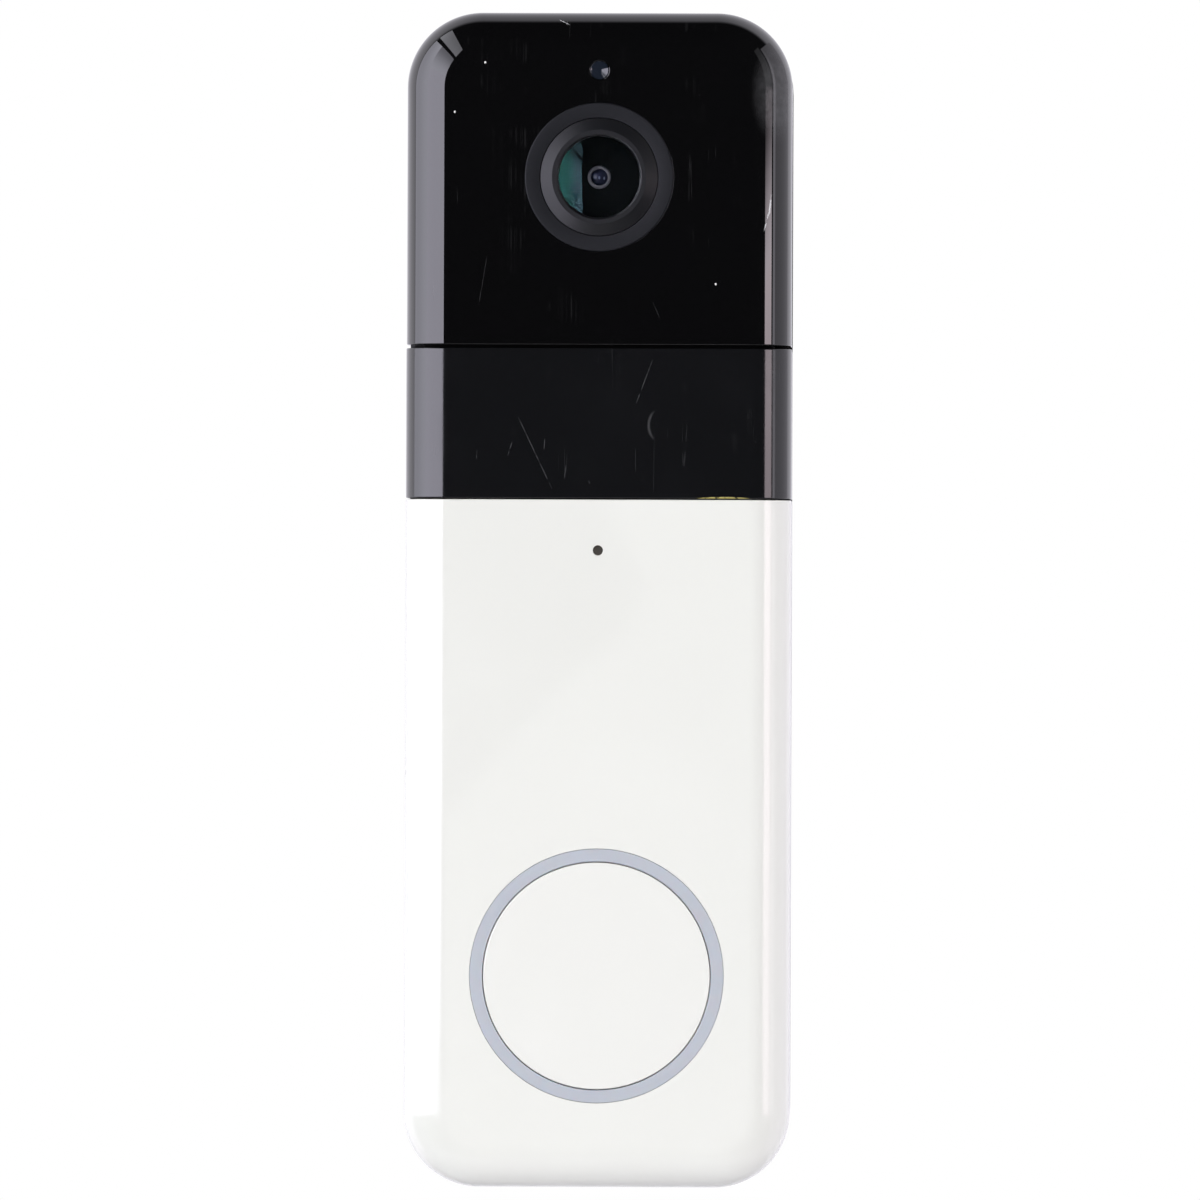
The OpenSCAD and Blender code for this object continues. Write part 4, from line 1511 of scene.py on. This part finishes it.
@dataclass
class Insides:
    """The parts that stay as the CAD has them, each with its own finish."""

    finishes: dict[str, Finishes] = field(
        default_factory=lambda: {
            "inner_frame": Finishes.DEEP_BLACK,
            "lens_holder": Finishes.INNER_BLACK,
            "lens_barrel": Finishes.DEEP_BLACK,
            "pir_holder": Finishes.INNER_BLACK,
            "setup_switch": Finishes.INNER_BLACK,
            "switch_body": Finishes.INNER_BLACK,
            "microphone_gasket": Finishes.RUBBER,
            "speaker_gasket": Finishes.RUBBER,
            "board_screws": Finishes.STEEL,
            "button_board_screws": Finishes.STEEL,
            "board_spacers": Finishes.STEEL,
            "pir_sensor": Finishes.STEEL,
            "radio_shield": Finishes.STEEL,
            "battery_tabs": Finishes.STEEL,
            "image_sensor": Finishes.DARK_GLASS,
            "ir_emitters": Finishes.DARK_GLASS,
            "sensor_board": Finishes.BOARD,
            "ir_board": Finishes.BOARD,
            "microphone_board": Finishes.BOARD,
            "main_board": Finishes.BOARD,
            "battery_board": Finishes.BOARD,
            "button_board": Finishes.BOARD,
            "processor": Finishes.CHIP,
            "light_sensor": Finishes.CHIP,
            "microphone": Finishes.BRASS,
            "antenna": Finishes.COPPER,
            "board_connector": Finishes.CREAM,
            "battery_plug": Finishes.CREAM,
            "switch_plunger": Finishes.CREAM,
            "battery_cells": Finishes.CELL_FILM,
            "battery_cradle": Finishes.CRADLE,
            "speaker_cone": Finishes.CONE,
            "speaker_mesh": Finishes.MESH,
            "ring_leds": Finishes.LAMP,
        }
    )

    def build(self) -> None:
        """Dresses the parts."""
        for node, finish in self.finishes.items():
            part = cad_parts[node]
            part.data.materials.clear()
            part.data.materials.append(finish.material())
            LOG.info("%s: kept, %s", node, finish.name.lower())


# ---------------------------------------------------------------- studio


@dataclass
class Panel:
    """A soft light panel that stands beside the doorbell, parallel to the line of sight.

    Its ends are given by their angles from the front and its edges by their slopes from level.
    """

    name: str
    side: float
    near: float
    far: float
    low: float
    high: float
    strength: float
    colour: Colour
    top_strength: float | None = None
    along: float | None = None
    pieces: tuple[str, ...] = ()

    def build(self) -> None:
        """Adds the panel as a glowing sheet that the camera doesn't see.

        A panel with pieces named lights only those.
        """
        reach = abs(self.side)
        ahead, behind = (-reach / math.tan(math.radians(a)) for a in (self.near, self.far))
        low, high = (reach * math.tan(math.radians(a)) for a in (self.low, self.high))
        form = Form()
        shape = form.mesh
        bmesh.ops.create_grid(shape, x_segments=1, y_segments=1, size=0.5)
        bmesh.ops.rotate(shape, verts=shape.verts, matrix=Matrix.Rotation(math.pi / 2, 3, "Y"))
        bmesh.ops.scale(shape, verts=shape.verts, vec=(1.0, behind - ahead, high - low))
        middle = (self.side, (behind + ahead) / 2, (high + low) / 2)
        bmesh.ops.translate(shape, verts=shape.verts, vec=middle)
        made = form.loose_object(self.name)
        made.visible_camera = False
        made.visible_diffuse = False
        shader = Shader(self.name)
        top = self.strength if self.top_strength is None else self.top_strength
        rise = shader.along("Z").ramp(low / MM, high / MM) * (top - self.strength) + self.strength
        if self.along is not None:
            rise = rise * (shader.along("Y").ramp(ahead / MM, behind / MM) * (self.along / self.strength - 1.0) + 1.0)
        tint = shader.node("ShaderNodeVectorMath", {"operation": "SCALE"}, {0: self.colour, "Scale": rise})
        made.data.materials.append(
            shader.finish(
                Base_Color=(0.0, 0.0, 0.0),
                Roughness=1.0,
                Specular_IOR_Level=0.0,
                Emission_Color=tint.outputs["Vector"],
                Emission_Strength=1.0,
            )
        )
        made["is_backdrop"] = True
        if self.pieces:
            lit = bpy.data.collections.new(f"{self.name}_pieces")
            for piece in self.pieces:
                lit.objects.link(bpy.data.objects[piece])
            made.light_linking.receiver_collection = lit


@dataclass
class KeyLight:
    """A large soft lamp that lights the surfaces and isn't mirrored in them."""

    name: str
    azimuth: float
    elevation: float
    power: float
    size: float
    distance: float = 1.2
    colour: Colour = (1.0, 1.0, 1.0)

    def build(self) -> None:
        """Adds the lamp. The azimuth is from the doorbell's front, positive to the right."""
        lamp = bpy.data.lights.new(self.name, "AREA")
        lamp.shape = "SQUARE"
        lamp.size = self.size
        lamp.energy = self.power
        lamp.color = self.colour
        made = linked(self.name, lamp)
        made.visible_camera = False
        made.visible_glossy = False
        made.visible_transmission = False
        turn, rise = math.radians(self.azimuth), math.radians(self.elevation)
        away = Vector((math.sin(turn) * math.cos(rise), -math.cos(turn) * math.cos(rise), math.sin(rise)))
        made.location = away * self.distance
        made.rotation_euler = away.to_track_quat("Z", "Y").to_euler()


@dataclass
class Studio:
    """White surroundings, panels left and right, a pale floor and the camera."""

    azimuth: float = 1.0
    roll: float = 0.2
    distance: float = 1.6
    lens: float = 403.7
    aim: float = 0.00028
    floor_drop: float = 0.3
    floor_radius: float = 0.45

    def build(self) -> None:
        """Sets up the surroundings, the lights, the floor and the camera."""
        self.surroundings()
        left, right = -0.9, 0.9
        rings, glass = ("lens_ring", "lens_surround"), ("domed_glass",)
        mauve, lilac, dusk = (0.89, 0.865, 1.0), (0.89, 0.88, 1.0), (0.94, 0.91, 1.0)
        lights = (
            Panel("left_wall", left, 13.0, 62.0, -9.0, 24.0, 6.6, mauve),
            Panel("left_wall_rise", left, 13.0, 62.0, 24.0, 47.0, 6.6, lilac, 2.6),
            Panel("left_wall_far", left, 62.0, 103.0, -9.0, 47.0, 6.3, lilac, along=3.8),
            Panel("left_wall_top", left, 13.0, 103.0, 50.5, 62.0, 3.4, (0.92, 0.92, 1.0), 2.6),
            Panel("ring_glow", left, 13.0, 62.0, -62.0, -9.0, 6.6, mauve, pieces=rings),
            Panel("glass_glow", left, 13.0, 32.0, -62.0, -9.0, 8.8, mauve, pieces=glass),
            Panel("right_strip_low", right, 42.0, 61.0, -9.0, 1.2, 3.6, (1.0, 0.84, 0.92), 4.6),
            Panel("right_strip_mid", right, 42.0, 61.0, 1.2, 4.2, 4.6, (1.0, 0.86, 0.92), 8.0),
            Panel("right_strip_high", right, 42.0, 61.0, 4.2, 6.6, 8.0, (1.0, 0.88, 0.95), 0.6),
            Panel("right_strip_top", right, 42.0, 61.0, 6.6, 48.0, 0.6, (0.95, 0.95, 1.0), 0.4),
            Panel("right_wall_edge", right, 65.0, 72.0, -9.0, 45.0, 3.0, dusk, 1.2),
            Panel("right_wall", right, 72.0, 125.0, -48.0, 45.0, 1.3, dusk, 1.1),
            KeyLight("left_key", -60.0, 7.0, 12.0, 0.9, colour=(0.985, 1.0, 1.0)),
            KeyLight("front_key", 0.0, 7.0, 9.6, 0.9),
            KeyLight("right_key", 60.0, 7.0, 6.5, 0.9, colour=(1.0, 0.955, 0.965)),
        )
        for light in lights:
            light.build()
        self.floor()
        self.camera()
        settings = bpy.context.scene.view_settings
        settings.view_transform = "Standard"
        settings.look = "None"

    def surroundings(self) -> None:
        """Makes the world: white to look at, dark in front and bright behind."""
        world = bpy.data.worlds.new("white_room")
        bpy.context.scene.world = world
        world.use_nodes = True
        tree = world.node_tree
        tree.nodes.clear()
        coords = tree.nodes.new("ShaderNodeTexCoord")
        split = tree.nodes.new("ShaderNodeSeparateXYZ")
        behind = tree.nodes.new("ShaderNodeMapRange")
        behind.interpolation_type = "SMOOTHSTEP"
        behind.inputs["From Min"].default_value = 0.1
        behind.inputs["From Max"].default_value = 0.35
        behind.inputs["To Min"].default_value = 0.02
        behind.inputs["To Max"].default_value = 0.95
        width = tree.nodes.new("ShaderNodeMath")
        width.operation = "ABSOLUTE"
        sides = tree.nodes.new("ShaderNodeMath")
        sides.operation = "ADD"
        sides.inputs[1].default_value = 1.0
        strength = tree.nodes.new("ShaderNodeMath")
        strength.operation = "MULTIPLY"
        path = tree.nodes.new("ShaderNodeLightPath")
        seen = tree.nodes.new("ShaderNodeMix")
        seen.inputs["B"].default_value = 1.0
        tint = tree.nodes.new("ShaderNodeMix")
        tint.data_type = "RGBA"
        tint.inputs[6].default_value = (0.94, 0.92, 1.0, 1.0)
        tint.inputs[7].default_value = (1.0, 1.0, 1.0, 1.0)
        light = tree.nodes.new("ShaderNodeBackground")
        output = tree.nodes.new("ShaderNodeOutputWorld")
        for start, end in (
            (coords.outputs["Generated"], split.inputs["Vector"]),
            (split.outputs["Y"], behind.inputs["Value"]),
            (split.outputs["X"], width.inputs[0]),
            (width.outputs[0], sides.inputs[0]),
            (behind.outputs["Result"], strength.inputs[0]),
            (sides.outputs[0], strength.inputs[1]),
            (strength.outputs[0], seen.inputs["A"]),
            (path.outputs["Is Camera Ray"], seen.inputs["Factor"]),
            (path.outputs["Is Camera Ray"], tint.inputs["Factor"]),
            (seen.outputs["Result"], light.inputs["Strength"]),
            (tint.outputs[2], light.inputs["Color"]),
            (light.outputs["Background"], output.inputs["Surface"]),
        ):
            tree.links.new(start, end)

    def floor(self) -> None:
        """Makes the pale floor below the doorbell, which hangs as on a wall."""
        form = Form()
        shape = form.mesh
        bmesh.ops.create_circle(shape, cap_ends=True, segments=96, radius=self.floor_radius)
        bmesh.ops.translate(shape, verts=shape.verts, vec=(0.0, 0.0, CAD_BOX[0].z - self.floor_drop))
        made = form.loose_object("pale_floor")
        shader = Shader("floor_paper")
        paper = shader.noise(6.0, 3.0)
        made.data.materials.append(
            shader.finish(Base_Color=shader.blend(paper, (0.84, 0.84, 0.84), (0.88, 0.88, 0.88)), Roughness=0.8)
        )
        made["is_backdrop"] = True

    def camera(self) -> None:
        """Places the camera at the front, a little to the right."""
        data = bpy.data.cameras.new("camera")
        data.lens = self.lens
        data.sensor_width = 36.0
        data.clip_start = 0.05
        made = linked("camera", data)
        shells = Span.of("front_housing")
        target = Vector((self.aim, -shells.z1 * MM, 0.0))
        turn = math.radians(self.azimuth)
        back = Vector((math.sin(turn), -math.cos(turn), 0.0))
        made.location = target + back * self.distance
        look = back.to_track_quat("Z", "Y").to_matrix().to_4x4()
        lean = Matrix.Rotation(math.radians(self.roll), 4, "Z")
        made.rotation_euler = (look @ lean).to_euler()
        bpy.context.scene.camera = made


def write_sizes() -> None:
    """Gathers the CAD box and the finished model's box into a table that is not kept."""
    boxes = {"cad": CAD_BOX, "visual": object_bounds()}
    {name: [list(corner) for corner in box] for name, box in boxes.items()}


def main() -> None:
    """Builds every sub-assembly in order, then the studio round them."""
    logging.basicConfig(level=logging.INFO, format="%(name)s: %(message)s")
    for group in (FrontShells(), CameraEye(), CallButton(), BackAndBracket(), Insides()):
        LOG.info("building %s", type(group).__name__)
        group.build()
    Studio().build()
    write_sizes()


if __name__ == "__main__":
    main()
